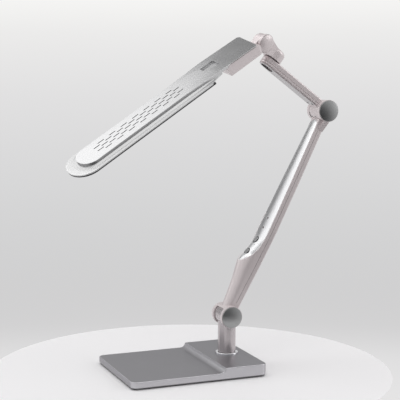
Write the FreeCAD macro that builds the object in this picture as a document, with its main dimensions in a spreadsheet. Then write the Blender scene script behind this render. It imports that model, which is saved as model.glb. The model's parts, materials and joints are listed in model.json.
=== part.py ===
import FreeCAD, Part
import math
import os
import Sketcher
from FreeCAD import Placement, Rotation, Vector

# A desk lamp: a stepped silver base, a short swivel post, two folding arms and a flat light head.
# Frame: origin under the middle of the base on the table, +X the way the head reaches, +Z up.
# All sizes are in millimetres and degrees.

doc = FreeCAD.newDocument("DeskLamp")
sheet = doc.addObject("Spreadsheet::Sheet", "Sizes")


class Size:
    """A value together with the sheet expression that gives it."""

    def __init__(self, value, text):
        self.value = float(value)
        self.text = text

    def join(self, other, sign, value):
        return Size(value, "(" + self.text + " " + sign + " " + other.text + ")")

    def __add__(self, other):
        other = as_size(other)
        return self.join(other, "+", self.value + other.value)

    def __sub__(self, other):
        other = as_size(other)
        return self.join(other, "-", self.value - other.value)

    def __mul__(self, other):
        other = as_size(other)
        return self.join(other, "*", self.value * other.value)

    def __truediv__(self, other):
        other = as_size(other)
        return self.join(other, "/", self.value / other.value)

    def __radd__(self, other):
        return as_size(other) + self

    def __rsub__(self, other):
        return as_size(other) - self

    def __rmul__(self, other):
        return as_size(other) * self

    def __neg__(self):
        return Size(-self.value, "(0 - " + self.text + ")")


def as_size(number):
    if isinstance(number, Size):
        return number
    return Size(number, "(" + repr(float(number)) + ")")


rows = []


def size(alias, value):
    """Write one driving dimension into the sheet and return it as a Size."""
    rows.append(alias)
    cell = "B" + str(len(rows))
    sheet.set("A" + str(len(rows)), alias.replace("_", " "))
    sheet.set(cell, str(value))
    sheet.setAlias(cell, alias)
    return Size(value, "Sizes." + alias)


# Driving dimensions of the base
base_length = size("base_length", 200)
base_width = size("base_width", 158)
base_corner = size("base_corner", 9)
front_height = size("front_height", 11.3)
rear_height = size("rear_height", 18.2)
rear_length = size("rear_length", 63.3)
step_run = size("step_run", 8)
cover_wall = size("cover_wall", 2.4)
cover_roof = size("cover_roof", 2.4)
edge_round = size("edge_round", 1.1)
mat_thickness = size("mat_thickness", 1.3)
mat_inset = size("mat_inset", 4)
floor_thickness = size("floor_thickness", 1.6)
floor_inset = size("floor_inset", 1.1)
weight_thickness = size("weight_thickness", 5.8)
boss_radius = size("boss_radius", 4)
boss_inset = size("boss_inset", 12)
screw_radius = size("screw_radius", 1.5)
screw_head_radius = size("screw_head_radius", 3)
screw_head_height = size("screw_head_height", 1.2)
screw_length = size("screw_length", 7)
inlet_side = size("inlet_side", 40)
inlet_height = size("inlet_height", 9.6)
inlet_width = size("inlet_width", 9.4)
inlet_tall = size("inlet_tall", 7.4)
inlet_depth = size("inlet_depth", 14)
inlet_bore = size("inlet_bore", 2.8)
inlet_pin = size("inlet_pin", 0.9)
inlet_reach = size("inlet_reach", 9.5)

# Driving dimensions of the swivel post
post_inset = size("post_inset", 28.8)
post_radius = size("post_radius", 12.9)
post_neck = size("post_neck", 8)
ring_radius = size("ring_radius", 16.4)
ring_height = size("ring_height", 2.4)
ring_round = size("ring_round", 1)
bush_wall = size("bush_wall", 1.6)
bush_flange = size("bush_flange", 1.2)
stud_radius = size("stud_radius", 5)
nut_height = size("nut_height", 3)
nut_radius = size("nut_radius", 9)
pivot_height = size("pivot_height", 74)

# Driving dimensions shared by both tilting knuckles
tongue_width = size("tongue_width", 24.4)
tongue_radius = size("tongue_radius", 14.1)
cheek_radius = size("cheek_radius", 15.9)
cheek_width = size("cheek_width", 6.1)
washer_thickness = size("washer_thickness", 0.5)
washer_radius = size("washer_radius", 9)
cap_radius = size("cap_radius", 15.2)
cap_edge = size("cap_edge", 1.2)
cap_crown = size("cap_crown", 1.4)
bolt_radius = size("bolt_radius", 3)
bolt_head = size("bolt_head", 5.2)
bolt_sink = size("bolt_sink", 6)
bolt_head_height = size("bolt_head_height", 3)
running_gap = size("running_gap", 0.1)
knuckle_gap = size("knuckle_gap", 0.35)
fit_gap = size("fit_gap", 0.1)

# Driving dimensions of the lower arm, measured along and across it
arm_length = size("arm_length", 330.4)
arm_back = size("arm_back", 8.2)
arm_seam = size("arm_seam", 0.6)
arm_edge = size("arm_edge", 5.2)
root_station = size("root_station", 8)
root_half = size("root_half", 9.9)
root_front = size("root_front", 12.4)
heel_station = size("heel_station", 30)
heel_half = size("heel_half", 11.3)
heel_front = size("heel_front", 14.1)
waist_station = size("waist_station", 50)
waist_half = size("waist_half", 12.8)
waist_front = size("waist_front", 15.9)
swell_station = size("swell_station", 65)
swell_half = size("swell_half", 14.2)
swell_front = size("swell_front", 18.6)
club_top = size("club_top", 79)
club_half = size("club_half", 15.4)
club_front = size("club_front", 20.7)
scoop_low = size("scoop_low", 95)
scoop_low_front = size("scoop_low_front", 10.4)
scoop_high = size("scoop_high", 110)
scoop_high_front = size("scoop_high_front", 6.4)
slope_end = size("slope_end", 125)
slope_front = size("slope_front", 5.3)
flat_start = size("flat_start", 142)
wide_half = size("wide_half", 18.4)
top_half = size("top_half", 12.3)
top_reach = size("top_reach", 30.4)
top_station = arm_length - top_reach
arm_round = size("arm_round", 2.2)
seam_gap = size("seam_gap", 0.16)
panel_thickness = size("panel_thickness", 1.6)
panel_crown = size("panel_crown", 1.6)
scoop_crown = size("scoop_crown", 5.1)
panel_drop = size("panel_drop", 0.4)
panel_lip = size("panel_lip", 0.9)
button_radius = size("button_radius", 4.6)
button_low = size("button_low", 96.2)
button_high = size("button_high", 117.1)
button_proud = size("button_proud", 1)
button_gap = size("button_gap", 0.3)
button_travel = size("button_travel", 0.8)
board_thickness = size("board_thickness", 1.6)
lens_radius = size("lens_radius", 0.9)
lens_low = size("lens_low", 137.5)
lens_high = size("lens_high", 152.8)

# Driving dimensions of the upper arm
reach = size("reach", 111.2)
bar_overrun = size("bar_overrun", 1.4)
bar_width = size("bar_width", 22.4)
bar_top = size("bar_top", 9.2)
bar_bottom = size("bar_bottom", 4)
bar_round = size("bar_round", 2.4)
groove_width = size("groove_width", 0.7)
groove_depth = size("groove_depth", 0.8)
groove_low = size("groove_low", 2.2)
groove_high = size("groove_high", 1.6)
plate_half = size("plate_half", 9.6)
plate_thickness = size("plate_thickness", 1.4)
plate_start = size("plate_start", 19)
dish_half = size("dish_half", 5.4)
dish_length = size("dish_length", 20)
plate_screw_radius = size("plate_screw_radius", 0.9)

# Driving dimensions of the head's swivel housing
foot_radius = size("foot_radius", 13.9)
foot_height = size("foot_height", 17.4)
foot_gap = size("foot_gap", 0.5)
foot_round = size("foot_round", 6.5)
web_drop = size("web_drop", 1.2)
tilt_forward = size("tilt_forward", 35)
tilt_above = size("tilt_above", 7.1)
tilt_radius = size("tilt_radius", 13.3)
tilt_near = size("tilt_near", 8.6)
tilt_cheek = size("tilt_cheek", 4.4)
tilt_far = size("tilt_far", 10.4)
tilt_far_radius = size("tilt_far_radius", 9.6)
tilt_far_cheek = size("tilt_far_cheek", 3.8)
tilt_cap_edge = size("tilt_cap_edge", 0.9)
tilt_cap_crown = size("tilt_cap_crown", 2.6)
tilt_tongue = size("tilt_tongue", 12.2)
tilt_bolt = size("tilt_bolt", 2.5)

# Driving dimensions of the light head, from the tilt axis forward
head_top = size("head_top", 19.7)
neck_start = size("neck_start", 22.8)
neck_half = size("neck_half", 21.2)
neck_bend = size("neck_bend", 99.3)
neck_drop = size("neck_drop", 2.2)
neck_corner = size("neck_corner", 4.5)
neck_skew = size("neck_skew", 2.8)
neck_flare = size("neck_flare", 0.2)
shoulder_run = size("shoulder_run", 62)
skin = size("skin", 1.2)
deck_half = size("deck_half", 18.9)
deck_end = size("deck_end", 334.4)
deck_step = size("deck_step", 6)
tray_half = size("tray_half", 27.1)
tray_start = size("tray_start", 118.5)
tray_end = size("tray_end", 351.2)
tray_depth = size("tray_depth", 12)
tray_rim = size("tray_rim", 1.6)
tray_tuck = size("tray_tuck", 0.8)
tray_overlap = size("tray_overlap", 5)
shelf_run = size("shelf_run", 20)
bracket_bottom = size("bracket_bottom", 0.9)
bracket_end = size("bracket_end", 86)
box_start = size("box_start", 14.9)
box_round = size("box_round", 9)
box_inset = size("box_inset", 1.2)
front_lean = size("front_lean", 6.4)
pocket_start = size("pocket_start", 84.6)
pocket_length = size("pocket_length", 24.4)
pocket_width = size("pocket_width", 14.6)
pocket_shift = size("pocket_shift", 2)
pocket_depth = size("pocket_depth", 3.6)
pocket_corner = size("pocket_corner", 2)
slot_start = size("slot_start", 152)
slot_length = size("slot_length", 10.6)
slot_width = size("slot_width", 1.3)
slot_pitch = size("slot_pitch", 20.3)
slot_spacing = size("slot_spacing", 4.4)
guide_thickness = size("guide_thickness", 2.4)
frame_width = size("frame_width", 5)
spreader_thickness = size("spreader_thickness", 1.5)
strip_width = size("strip_width", 5)
frame_inset = size("frame_inset", 0.8)
frame_height = size("frame_height", 2.6)
frame_screw = size("frame_screw", 1)

# Rest angles: the lean of the lower arm behind the post, the rise of the upper arm, the turn of
# the head about the upper arm's top face and the head's tilt below it
lean_angle = size("lean_angle", 27.3)
rise_angle = size("rise_angle", 36.6)
turn_angle = size("turn_angle", 25)
tilt_angle = size("tilt_angle", 66)
doc.recompute()

parts = []


def body(label):
    made = doc.addObject("PartDesign::Body", label)
    made.Label = label
    parts.append(made)
    return made


def plane(owner, role):
    return [item for item in owner.Origin.OriginFeatures if item.Role == role][0]


def bind(item, name, amount):
    item.setExpression(name, as_size(amount).text)


def sketch_on(owner, role, lift=0):
    """Attach a sketch to one of the body's own planes, lifted along the plane's normal."""
    made = owner.newObject("Sketcher::SketchObject", owner.Label + "_sketch")
    made.AttachmentSupport = (plane(owner, role), "")
    made.MapMode = "FlatFace"
    bind(made, "AttachmentOffset.Base.z", lift)
    return made


def hold_point(sketch, geometry, point, x, y):
    for kind, amount in (("DistanceX", x), ("DistanceY", y)):
        amount = as_size(amount)
        index = sketch.addConstraint(
            Sketcher.Constraint(kind, -1, 1, geometry, point, amount.value))
        sketch.setExpression("Constraints[" + str(index) + "]", amount.text)


def hold_radius(sketch, geometry, radius):
    radius = as_size(radius)
    index = sketch.addConstraint(Sketcher.Constraint("Radius", geometry, radius.value))
    sketch.setExpression("Constraints[" + str(index) + "]", radius.text)


def circle(sketch, radius, x=0, y=0):
    radius = as_size(radius)
    x = as_size(x)
    y = as_size(y)
    centre = Vector(x.value, y.value, 0)
    index = sketch.addGeometry(Part.Circle(centre, Vector(0, 0, 1), radius.value))
    hold_point(sketch, index, 3, x, y)
    hold_radius(sketch, index, radius)


def bulge_middle(start, end, radius):
    """Middle of the arc from start to end; a positive radius turns left, a negative one right."""
    chord = end - start
    half = chord.Length / 2
    reach_in = math.sqrt(max(radius * radius - half * half, 0))
    side = Vector(-chord.y, chord.x, 0).normalize()
    sign = 1 if radius > 0 else -1
    centre = (start + end) * 0.5 + side * (reach_in * sign)
    return centre - side * (abs(radius) * sign)


def outline(sketch, corners):
    """Closed outline: each corner is (x, y) or (x, y, radius of the arc that leaves it)."""
    points = [Vector(as_size(c[0]).value, as_size(c[1]).value, 0) for c in corners]
    made = []
    for number, corner in enumerate(corners):
        start = points[number]
        end = points[(number + 1) % len(points)]
        if len(corner) == 3:
            middle = bulge_middle(start, end, as_size(corner[2]).value)
            arc = Part.Arc(start, middle, end)
            made.append((sketch.addGeometry(arc), corner[2], as_size(corner[2]).value < 0))
        else:
            made.append((sketch.addGeometry(Part.LineSegment(start, end)), None, False))
    for number, (geometry, radius, clockwise) in enumerate(made):
        following = made[(number + 1) % len(made)]
        last = 1 if clockwise else 2
        first = 2 if following[2] else 1
        sketch.addConstraint(
            Sketcher.Constraint("Coincident", geometry, last, following[0], first))
        own_first = 2 if clockwise else 1
        hold_point(sketch, geometry, own_first, corners[number][0], corners[number][1])
        if radius is not None:
            amount = as_size(radius)
            hold_radius(sketch, geometry, -amount if clockwise else amount)


def rounded(x_low, x_high, y_low, y_high, radius):
    """Corners of a rounded rectangle."""
    return [(x_low + radius, y_low), (x_high - radius, y_low, radius),
            (x_high, y_low + radius), (x_high, y_high - radius, radius),
            (x_high - radius, y_high), (x_low + radius, y_high, radius),
            (x_low, y_high - radius), (x_low, y_low + radius, radius)]


def stadium(x_low, x_high, half, y_middle=0):
    """Corners of a round-ended slot that lies along x."""
    y_middle = as_size(y_middle)
    return [(x_low + half, y_middle - half), (x_high - half, y_middle - half, half),
            (x_high, y_middle, half), (x_high - half, y_middle + half),
            (x_low + half, y_middle + half, half), (x_low, y_middle, half)]


def pad(owner, sketch, length, both=False, back=False):
    made = owner.newObject("PartDesign::Pad", owner.Label + "_pad")
    made.Profile = sketch
    bind(made, "Length", length)
    made.Reversed = back
    if both:
        made.SideType = "Symmetric"
    return made


def pocket(owner, sketch, length, both=False, back=False):
    """Cut a pocket; it must take material away, so the volume is compared later."""
    made = owner.newObject("PartDesign::Pocket", owner.Label + "_pocket")
    made.Profile = sketch
    bind(made, "Length", length)
    made.Reversed = back
    if both:
        made.SideType = "Symmetric"
    return made


def revolve(owner, sketch, kind="PartDesign::Revolution"):
    made = owner.newObject(kind, owner.Label + "_turn")
    made.Profile = sketch
    made.ReferenceAxis = (sketch, ["V_Axis"])
    made.Angle = 360
    return made


def loft(owner, sketches, kind="PartDesign::AdditiveLoft", ruled=True):
    made = owner.newObject(kind, owner.Label + "_loft")
    made.Profile = sketches[0]
    made.Sections = sketches[1:]
    made.Ruled = ruled
    return made


def fillet(owner, chosen, radius):
    """Round the edges of the body's last feature that the test picks."""
    doc.recompute()
    base = owner.Tip
    names = []
    for number, edge in enumerate(base.Shape.Edges, 1):
        if chosen(edge):
            names.append("Edge" + str(number))
    made = owner.newObject("PartDesign::Fillet", owner.Label + "_round")
    made.Base = (base, names)
    bind(made, "Radius", radius)
    return made


def upright(edge):
    box = edge.BoundBox
    return box.XLength < 0.01 and box.YLength < 0.01 and box.ZLength > 1


def near(value, target):
    return abs(value - target) < 0.02


def cosine(angle):
    return Size(math.cos(math.radians(angle.value)), "cos(" + angle.text + ")")


def sine(angle):
    return Size(math.sin(math.radians(angle.value)), "sin(" + angle.text + ")")


def spot(x, y, z):
    return [as_size(x), as_size(y), as_size(z)]


def moved(point, steps):
    """The point moved by a distance along each of several directions."""
    result = list(point)
    for distance, direction in steps:
        result = [result[i] + distance * direction[i] for i in range(3)]
    return result


# Frames of the five rigid groups
post_x = post_inset - base_length / 2
post_spot = spot(post_x, 0, 0)
knuckle_spot = spot(post_x, 0, pivot_height)
lower_across = spot(cosine(lean_angle), 0, sine(lean_angle))
lower_along = spot(-sine(lean_angle), 0, cosine(lean_angle))
elbow_spot = moved(knuckle_spot, [(arm_length, lower_along)])
upper_along = spot(cosine(rise_angle), 0, sine(rise_angle))
upper_normal = spot(-sine(rise_angle), 0, cosine(rise_angle))
housing_spot = moved(elbow_spot, [(reach, upper_along), (bar_top, upper_normal)])
sideways = spot(0, 1, 0)
forward = [cosine(turn_angle) * upper_along[i] + sine(turn_angle) * sideways[i] for i in range(3)]
head_spot = moved(housing_spot, [(tilt_above, upper_normal), (tilt_forward, forward)])

lower_turn = Rotation(Vector(0, -1, 0), lean_angle.value)
upper_turn = Rotation(Vector(0, -1, 0), rise_angle.value)
housing_turn = upper_turn.multiply(Rotation(Vector(0, 0, 1), turn_angle.value))
head_turn = housing_turn.multiply(Rotation(Vector(0, 1, 0), tilt_angle.value))
no_turn = Rotation()


def place(item, point, turn, shift=(0, 0, 0)):
    """Put an item at a point of a group's frame, with its origin bound to the sheet."""
    steps = []
    for amount, axis in zip(shift, (Vector(1, 0, 0), Vector(0, 1, 0), Vector(0, 0, 1))):
        direction = turn.multVec(axis)
        steps.append((as_size(amount), spot(direction.x, direction.y, direction.z)))
    target = moved(point, steps)
    values = [amount.value for amount in target]
    item.Placement = Placement(Vector(values[0], values[1], values[2]), turn)
    for axis, amount in zip("xyz", target):
        item.setExpression("Placement.Base." + axis, amount.text)


def cylinder(radius, height, x, y, z):
    made = doc.addObject("Part::Cylinder", "round_bar")
    bind(made, "Radius", radius)
    bind(made, "Height", height)
    for axis, amount in (("x", x), ("y", y), ("z", z)):
        made.setExpression("Placement.Base." + axis, as_size(amount).text)
    return made


def joined(label, pieces):
    made = doc.addObject("Part::MultiFuse", label)
    made.Shapes = pieces
    made.Label = label
    parts.append(made)
    return made


def screws(label, places, shaft, shaft_length, head, head_height, z):
    """Screws that point up, one solid each; z is the underside of the head."""
    pieces = []
    for x, y in places:
        pieces.append(cylinder(head, head_height, x, y, z))
        pieces.append(cylinder(shaft, shaft_length, x, y, as_size(z) + head_height))
    return joined(label, pieces)


def disc(label, radius, hole, thickness):
    """A flat ring lying on its own XY plane."""
    made = body(label)
    drawn = sketch_on(made, "XY_Plane")
    circle(drawn, radius)
    circle(drawn, hole)
    pad(made, drawn, thickness)
    return made


# Distance of a hexagon's corner from its middle, as a share of its width across flats
corner_share = 0.57735


def hexagon_nut(label, across, hole, thickness):
    made = body(label)
    drawn = sketch_on(made, "XY_Plane")
    half = across / 2
    slant = across * corner_share
    outline(drawn, [(slant, 0), (slant / 2, half), (-slant / 2, half),
                    (-slant, 0), (-slant / 2, -half), (slant / 2, -half)])
    circle(drawn, hole)
    pad(made, drawn, thickness)
    return made


def cap(label, radius, edge, crown):
    """A slightly domed cap lying on its own XY plane."""
    made = body(label)
    drawn = sketch_on(made, "XZ_Plane")
    dome = (radius * radius + crown * crown) / (crown * 2)
    outline(drawn, [(0, 0), (radius, 0), (radius, edge, dome), (0, edge + crown)])
    revolve(made, drawn)
    return made


def bolt(label, shaft, length, head, head_height):
    """A bolt with its head at the bottom of its own Z axis and a hexagon socket in the head."""
    made = body(label)
    drawn = sketch_on(made, "XZ_Plane")
    outline(drawn, [(0, 0), (head, 0), (head, head_height), (shaft, head_height),
                    (shaft, head_height + length), (0, head_height + length)])
    revolve(made, drawn)
    socket = sketch_on(made, "XY_Plane")
    half = head / 2
    slant = head * corner_share
    outline(socket, [(slant, 0), (slant / 2, half), (-slant / 2, half),
                     (-slant, 0), (-slant / 2, -half), (slant / 2, -half)])
    pocket(made, socket, head_height / 2, back=True)
    return made


to_near = Rotation(Vector(1, 0, 0), -90)
to_far = Rotation(Vector(1, 0, 0), 90)


# The base
cover_bottom = mat_thickness + floor_thickness
half_length = base_length / 2
half_width = base_width / 2
crest = rear_length - half_length
cove_end = crest + step_run
step_rise = rear_height - front_height
cove = (step_run * step_run + step_rise * step_rise) / (step_rise * 2)

cover = body("base_cover")
side = sketch_on(cover, "XZ_Plane")
outline(side, [(-half_length, cover_bottom), (half_length, cover_bottom),
               (half_length, front_height), (cove_end, front_height, -cove),
               (crest, rear_height), (-half_length, rear_height)])
pad(cover, side, base_width, both=True)
fillet(cover, upright, base_corner)


def top_rim(edge):
    box = edge.BoundBox
    if box.ZMax < front_height.value - 0.01:
        return False
    if near(box.YLength, base_width.value):
        return False
    return not (box.ZMin < cover_bottom.value + 0.01)


fillet(cover, top_rim, edge_round)

hollow = sketch_on(cover, "XY_Plane", cover_bottom)
inner_corner = base_corner - cover_wall
outline(hollow, rounded(cover_wall - half_length, half_length - cover_wall,
                        cover_wall - half_width, half_width - cover_wall, inner_corner))
pocket(cover, hollow, front_height - cover_roof - cover_bottom, back=True)

chamber = sketch_on(cover, "XY_Plane", cover_bottom)
outline(chamber, rounded(cover_wall - half_length, crest - cover_wall,
                         cover_wall - half_width, half_width - cover_wall, inner_corner))
pocket(cover, chamber, rear_height - cover_roof - cover_bottom, back=True)

boss_x = half_length - boss_inset
boss_y = half_width - boss_inset
front_bosses = sketch_on(cover, "XY_Plane", cover_bottom)
circle(front_bosses, boss_radius, boss_x, boss_y)
circle(front_bosses, boss_radius, boss_x, -boss_y)
pad(cover, front_bosses, front_height - cover_bottom - cover_roof / 2)
rear_bosses = sketch_on(cover, "XY_Plane", cover_bottom)
circle(rear_bosses, boss_radius, -boss_x, boss_y)
circle(rear_bosses, boss_radius, -boss_x, -boss_y)
pad(cover, rear_bosses, rear_height - cover_bottom - cover_roof / 2)

bush_bottom = front_height - cover_roof / 2
collar = sketch_on(cover, "XY_Plane", bush_bottom)
bush_radius = post_neck + bush_wall
circle(collar, bush_radius + cover_wall, post_x, 0)
pad(cover, collar, rear_height - bush_bottom - cover_roof / 2)
collar_bore = sketch_on(cover, "XY_Plane", rear_height)
circle(collar_bore, bush_radius + fit_gap / 2, post_x, 0)
pocket(cover, collar_bore, rear_height - bush_bottom)

pilot = sketch_on(cover, "XY_Plane", cover_bottom)
for sign_x in (1, -1):
    for sign_y in (1, -1):
        circle(pilot, screw_radius + fit_gap / 2, boss_x * sign_x, boss_y * sign_y)
pocket(cover, pilot, screw_length - floor_thickness + fit_gap, back=True)

inlet_hole = sketch_on(cover, "YZ_Plane", -half_length)
outline(inlet_hole, rounded(inlet_side - inlet_width / 2 - fit_gap,
                            inlet_side + inlet_width / 2 + fit_gap,
                            inlet_height - inlet_tall / 2 - fit_gap,
                            inlet_height + inlet_tall / 2 + fit_gap, screw_radius))
pocket(cover, inlet_hole, cover_wall * 2, back=True)

plate = body("base_plate")
drawn = sketch_on(plate, "XY_Plane", mat_thickness)
outline(drawn, rounded(floor_inset - half_length, half_length - floor_inset,
                       floor_inset - half_width, half_width - floor_inset,
                       base_corner - floor_inset))
for sign_x in (1, -1):
    for sign_y in (1, -1):
        circle(drawn, screw_radius + fit_gap, boss_x * sign_x, boss_y * sign_y)
pad(plate, drawn, floor_thickness)

mat = body("anti_slip_mat")
drawn = sketch_on(mat, "XY_Plane")
outline(drawn, rounded(mat_inset - half_length, half_length - mat_inset,
                       mat_inset - half_width, half_width - mat_inset,
                       base_corner - mat_inset))
for sign_x in (1, -1):
    for sign_y in (1, -1):
        circle(drawn, screw_head_radius + fit_gap * 2, boss_x * sign_x, boss_y * sign_y)
pad(mat, drawn, mat_thickness)

weight = body("base_weight")
drawn = sketch_on(weight, "XY_Plane", cover_bottom)
weight_inset = cover_wall + fit_gap
outline(drawn, rounded(weight_inset - half_length, half_length - weight_inset,
                       weight_inset - half_width, half_width - weight_inset,
                       inner_corner))
for sign_x in (1, -1):
    for sign_y in (1, -1):
        circle(drawn, boss_radius + fit_gap, boss_x * sign_x, boss_y * sign_y)
circle(drawn, bush_radius * 1.5, post_x, 0)
pad(weight, drawn, weight_thickness)
notch = sketch_on(weight, "XY_Plane", cover_bottom + weight_thickness)
inlet_clear = inlet_width / 2 + fit_gap
outline(notch, [(-half_length, inlet_side - inlet_clear),
                (inlet_depth + fit_gap - half_length, inlet_side - inlet_clear),
                (inlet_depth + fit_gap - half_length, inlet_side + inlet_clear),
                (-half_length, inlet_side + inlet_clear)])
pocket(weight, notch, weight_thickness)

screws("base_screws",
       [(boss_x, boss_y), (boss_x, -boss_y), (-boss_x, boss_y), (-boss_x, -boss_y)],
       screw_radius, screw_length, screw_head_radius, screw_head_height, fit_gap)

inlet = body("dc_inlet")
drawn = sketch_on(inlet, "YZ_Plane", -half_length)
outline(drawn, rounded(inlet_side - inlet_width / 2, inlet_side + inlet_width / 2,
                       inlet_height - inlet_tall / 2, inlet_height + inlet_tall / 2,
                       screw_radius - fit_gap))
pad(inlet, drawn, inlet_depth)
bore = sketch_on(inlet, "YZ_Plane", -half_length)
circle(bore, inlet_bore, inlet_side, inlet_height)
pocket(inlet, bore, inlet_reach, back=True)
pin = sketch_on(inlet, "YZ_Plane", cover_wall / 2 - half_length)
circle(pin, inlet_pin, inlet_side, inlet_height)
pad(inlet, pin, inlet_reach)

# The swivel post and what holds it
ring = body("post_ring")
drawn = sketch_on(ring, "XZ_Plane")
outline(drawn, [(post_neck + fit_gap, 0), (ring_radius, 0),
                (ring_radius, ring_height - ring_round, ring_round),
                (ring_radius - ring_round, ring_height), (post_neck + fit_gap, ring_height)])
revolve(ring, drawn)
place(ring, post_spot, no_turn, (0, 0, rear_height))

bushing = body("post_bushing")
drawn = sketch_on(bushing, "XZ_Plane")
flange_bottom = bush_bottom - bush_flange
outline(drawn, [(post_neck + fit_gap / 2, flange_bottom),
                (bush_radius + cover_wall, flange_bottom),
                (bush_radius + cover_wall, bush_bottom), (bush_radius, bush_bottom),
                (bush_radius, rear_height), (post_neck + fit_gap / 2, rear_height)])
revolve(bushing, drawn)
place(bushing, post_spot, no_turn)

post_foot = rear_height + ring_height + running_gap
spigot_end = flange_bottom - running_gap / 2
stud_end = cover_bottom + running_gap * 5
column_top = pivot_height - cheek_radius - knuckle_gap
post = body("swivel_post")
drawn = sketch_on(post, "XZ_Plane")
outline(drawn, [(0, stud_end), (stud_radius, stud_end), (stud_radius, spigot_end),
                (post_neck, spigot_end), (post_neck, post_foot),
                (post_radius - ring_round / 2, post_foot),
                (post_radius, post_foot + ring_round / 2),
                (post_radius, pivot_height - tongue_radius / 2),
                (0, pivot_height - tongue_radius / 2)])
revolve(post, drawn)
half_tongue = tongue_width / 2
for side_sign in (1, -1):
    flat = sketch_on(post, "XY_Plane", pivot_height)
    low = half_tongue if side_sign == 1 else -half_tongue - 2
    outline(flat, [(-post_radius, low), (post_radius, low),
                   (post_radius, low + 2), (-post_radius, low + 2)])
    pocket(post, flat, pivot_height - column_top)
eye = sketch_on(post, "XZ_Plane")
circle(eye, tongue_radius, 0, pivot_height)
pad(post, eye, tongue_width, both=True)
hole = sketch_on(post, "XZ_Plane")
circle(hole, bolt_radius + fit_gap / 2, 0, pivot_height)
pocket(post, hole, tongue_width * 2, both=True)
place(post, post_spot, no_turn)

swivel_washer = disc("swivel_washer", bush_radius + cover_wall / 2, stud_radius + fit_gap / 2,
                     washer_thickness)
washer_bottom = spigot_end - fit_gap / 2 - washer_thickness
place(swivel_washer, post_spot, no_turn, (0, 0, washer_bottom))
swivel_nut = hexagon_nut("swivel_nut", nut_radius * 1.8, stud_radius + fit_gap / 2, nut_height)
place(swivel_nut, post_spot, no_turn, (0, 0, washer_bottom - nut_height - fit_gap / 2))

# Hardware of the two large knuckles
cheek_inner = half_tongue + washer_thickness + fit_gap
cheek_outer = cheek_inner + cheek_width
bore_face = cheek_outer - bolt_head_height - fit_gap


def knuckle_hardware(name, point, turn):
    made = cap(name + "_near_cap", cap_radius, cap_edge, cap_crown)
    place(made, point, turn.multiply(to_near), (0, 0, cheek_outer + fit_gap / 4))
    made = cap(name + "_far_cap", cap_radius, cap_edge, cap_crown)
    place(made, point, turn.multiply(to_far), (0, 0, cheek_outer + fit_gap / 4))
    made = bolt(name + "_bolt", bolt_radius, bore_face * 2 + bolt_head_height - fit_gap,
                bolt_head, bolt_head_height)
    place(made, point, turn.multiply(to_near), (0, 0, -bore_face - bolt_head_height))
    made = hexagon_nut(name + "_nut", bolt_head * 1.9, bolt_radius + fit_gap / 2,
                       bolt_head_height)
    place(made, point, turn.multiply(to_near), (0, 0, bore_face))


def friction_washers(label, point, turn, radius, hole, thickness, low_face, high_face):
    """Two thin washers, one on each side of a tongue; the faces are distances along Y."""
    made = body(label)
    for face in (low_face, high_face):
        drawn = sketch_on(made, "XZ_Plane", -face)
        circle(drawn, radius)
        circle(drawn, hole)
        pad(made, drawn, thickness)
    place(made, point, turn)
    return made


knuckle_hardware("lower_knuckle", knuckle_spot, lower_turn)
friction_washers("lower_knuckle_washers", knuckle_spot, lower_turn, washer_radius,
                 bolt_radius + fit_gap / 2, washer_thickness,
                 -half_tongue - fit_gap / 2, half_tongue + fit_gap / 2 + washer_thickness)

# The lower arm, drawn with Z along the arm and X to its panel side
scoop = [(club_top, club_front), (scoop_low, scoop_low_front),
         (scoop_high, scoop_high_front), (slope_end, slope_front), (flat_start, arm_edge)]


def front_of(station):
    """Height of the arm's front face at a station, down the scoop and along the flat."""
    station = as_size(station)
    for low, high in zip(scoop, scoop[1:]):
        if station.value < high[0].value:
            slope = (high[1] - low[1]) / (high[0] - low[0])
            return low[1] + (station - low[0]) * slope
    return arm_edge + 0


def arm_section(owner, station, back, front, half, back_round, front_round):
    drawn = sketch_on(owner, "XY_Plane", station)
    outline(drawn, [(back + back_round, -half), (front - front_round, -half, front_round),
                    (front, front_round - half), (front, half - front_round, front_round),
                    (front - front_round, half), (back + back_round, half, back_round),
                    (back, half - back_round), (back, back_round - half, back_round)])
    return drawn


mid_station = (slope_end + top_station) / 2
mid_half = (wide_half + top_half) / 2 + arm_round / 2
fork_station = arm_length - cheek_radius
fork_end = arm_length - cheek_radius / 3
shell = body("lower_arm_shell")
club = [(root_station, root_front, root_half), (heel_station, heel_front, heel_half),
        (waist_station, waist_front, waist_half), (swell_station, swell_front, swell_half),
        (club_top, club_front, club_half),
        (slope_end, club_front + arm_round, wide_half)]
loft(shell, [arm_section(shell, station, -arm_back, front, half, arm_round, half - arm_round / 2)
             for station, front, half in club])
cut_away = sketch_on(shell, "XZ_Plane")
beyond = club_front * 2
outline(cut_away, [(club_front, club_top), (scoop_low_front, scoop_low),
                   (scoop_high_front, scoop_high), (slope_front, slope_end),
                   (slope_front, slope_end + 2), (beyond, slope_end + 2), (beyond, club_top)])
pocket(shell, cut_away, cheek_outer * 3, both=True)
loft(shell, [
    arm_section(shell, slope_end, -arm_back, slope_front, wide_half, arm_round, arm_round),
    arm_section(shell, flat_start, -arm_back, arm_edge, wide_half, arm_round, arm_round),
    arm_section(shell, mid_station, -arm_back, arm_edge, mid_half, arm_round, arm_round),
    arm_section(shell, top_station, -arm_back, arm_edge, top_half, arm_round, arm_round),
    arm_section(shell, fork_end, -arm_back, arm_edge, top_half, arm_round, arm_round)])


def flare_section(station, half):
    drawn = sketch_on(shell, "XY_Plane", station)
    outline(drawn, [(-arm_back, -half), (-arm_seam, -half), (-arm_seam, half),
                    (-arm_back, half)])
    return drawn


loft(shell, [flare_section(top_station, top_half), flare_section(fork_station, cheek_outer),
             flare_section(fork_end, cheek_outer)])
hub = sketch_on(shell, "XZ_Plane")
circle(hub, cheek_radius)
pad(shell, hub, cheek_outer * 2, both=True)
fork = sketch_on(shell, "XZ_Plane")
circle(fork, cheek_radius, 0, arm_length)
pad(shell, fork, cheek_outer * 2, both=True)

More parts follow.
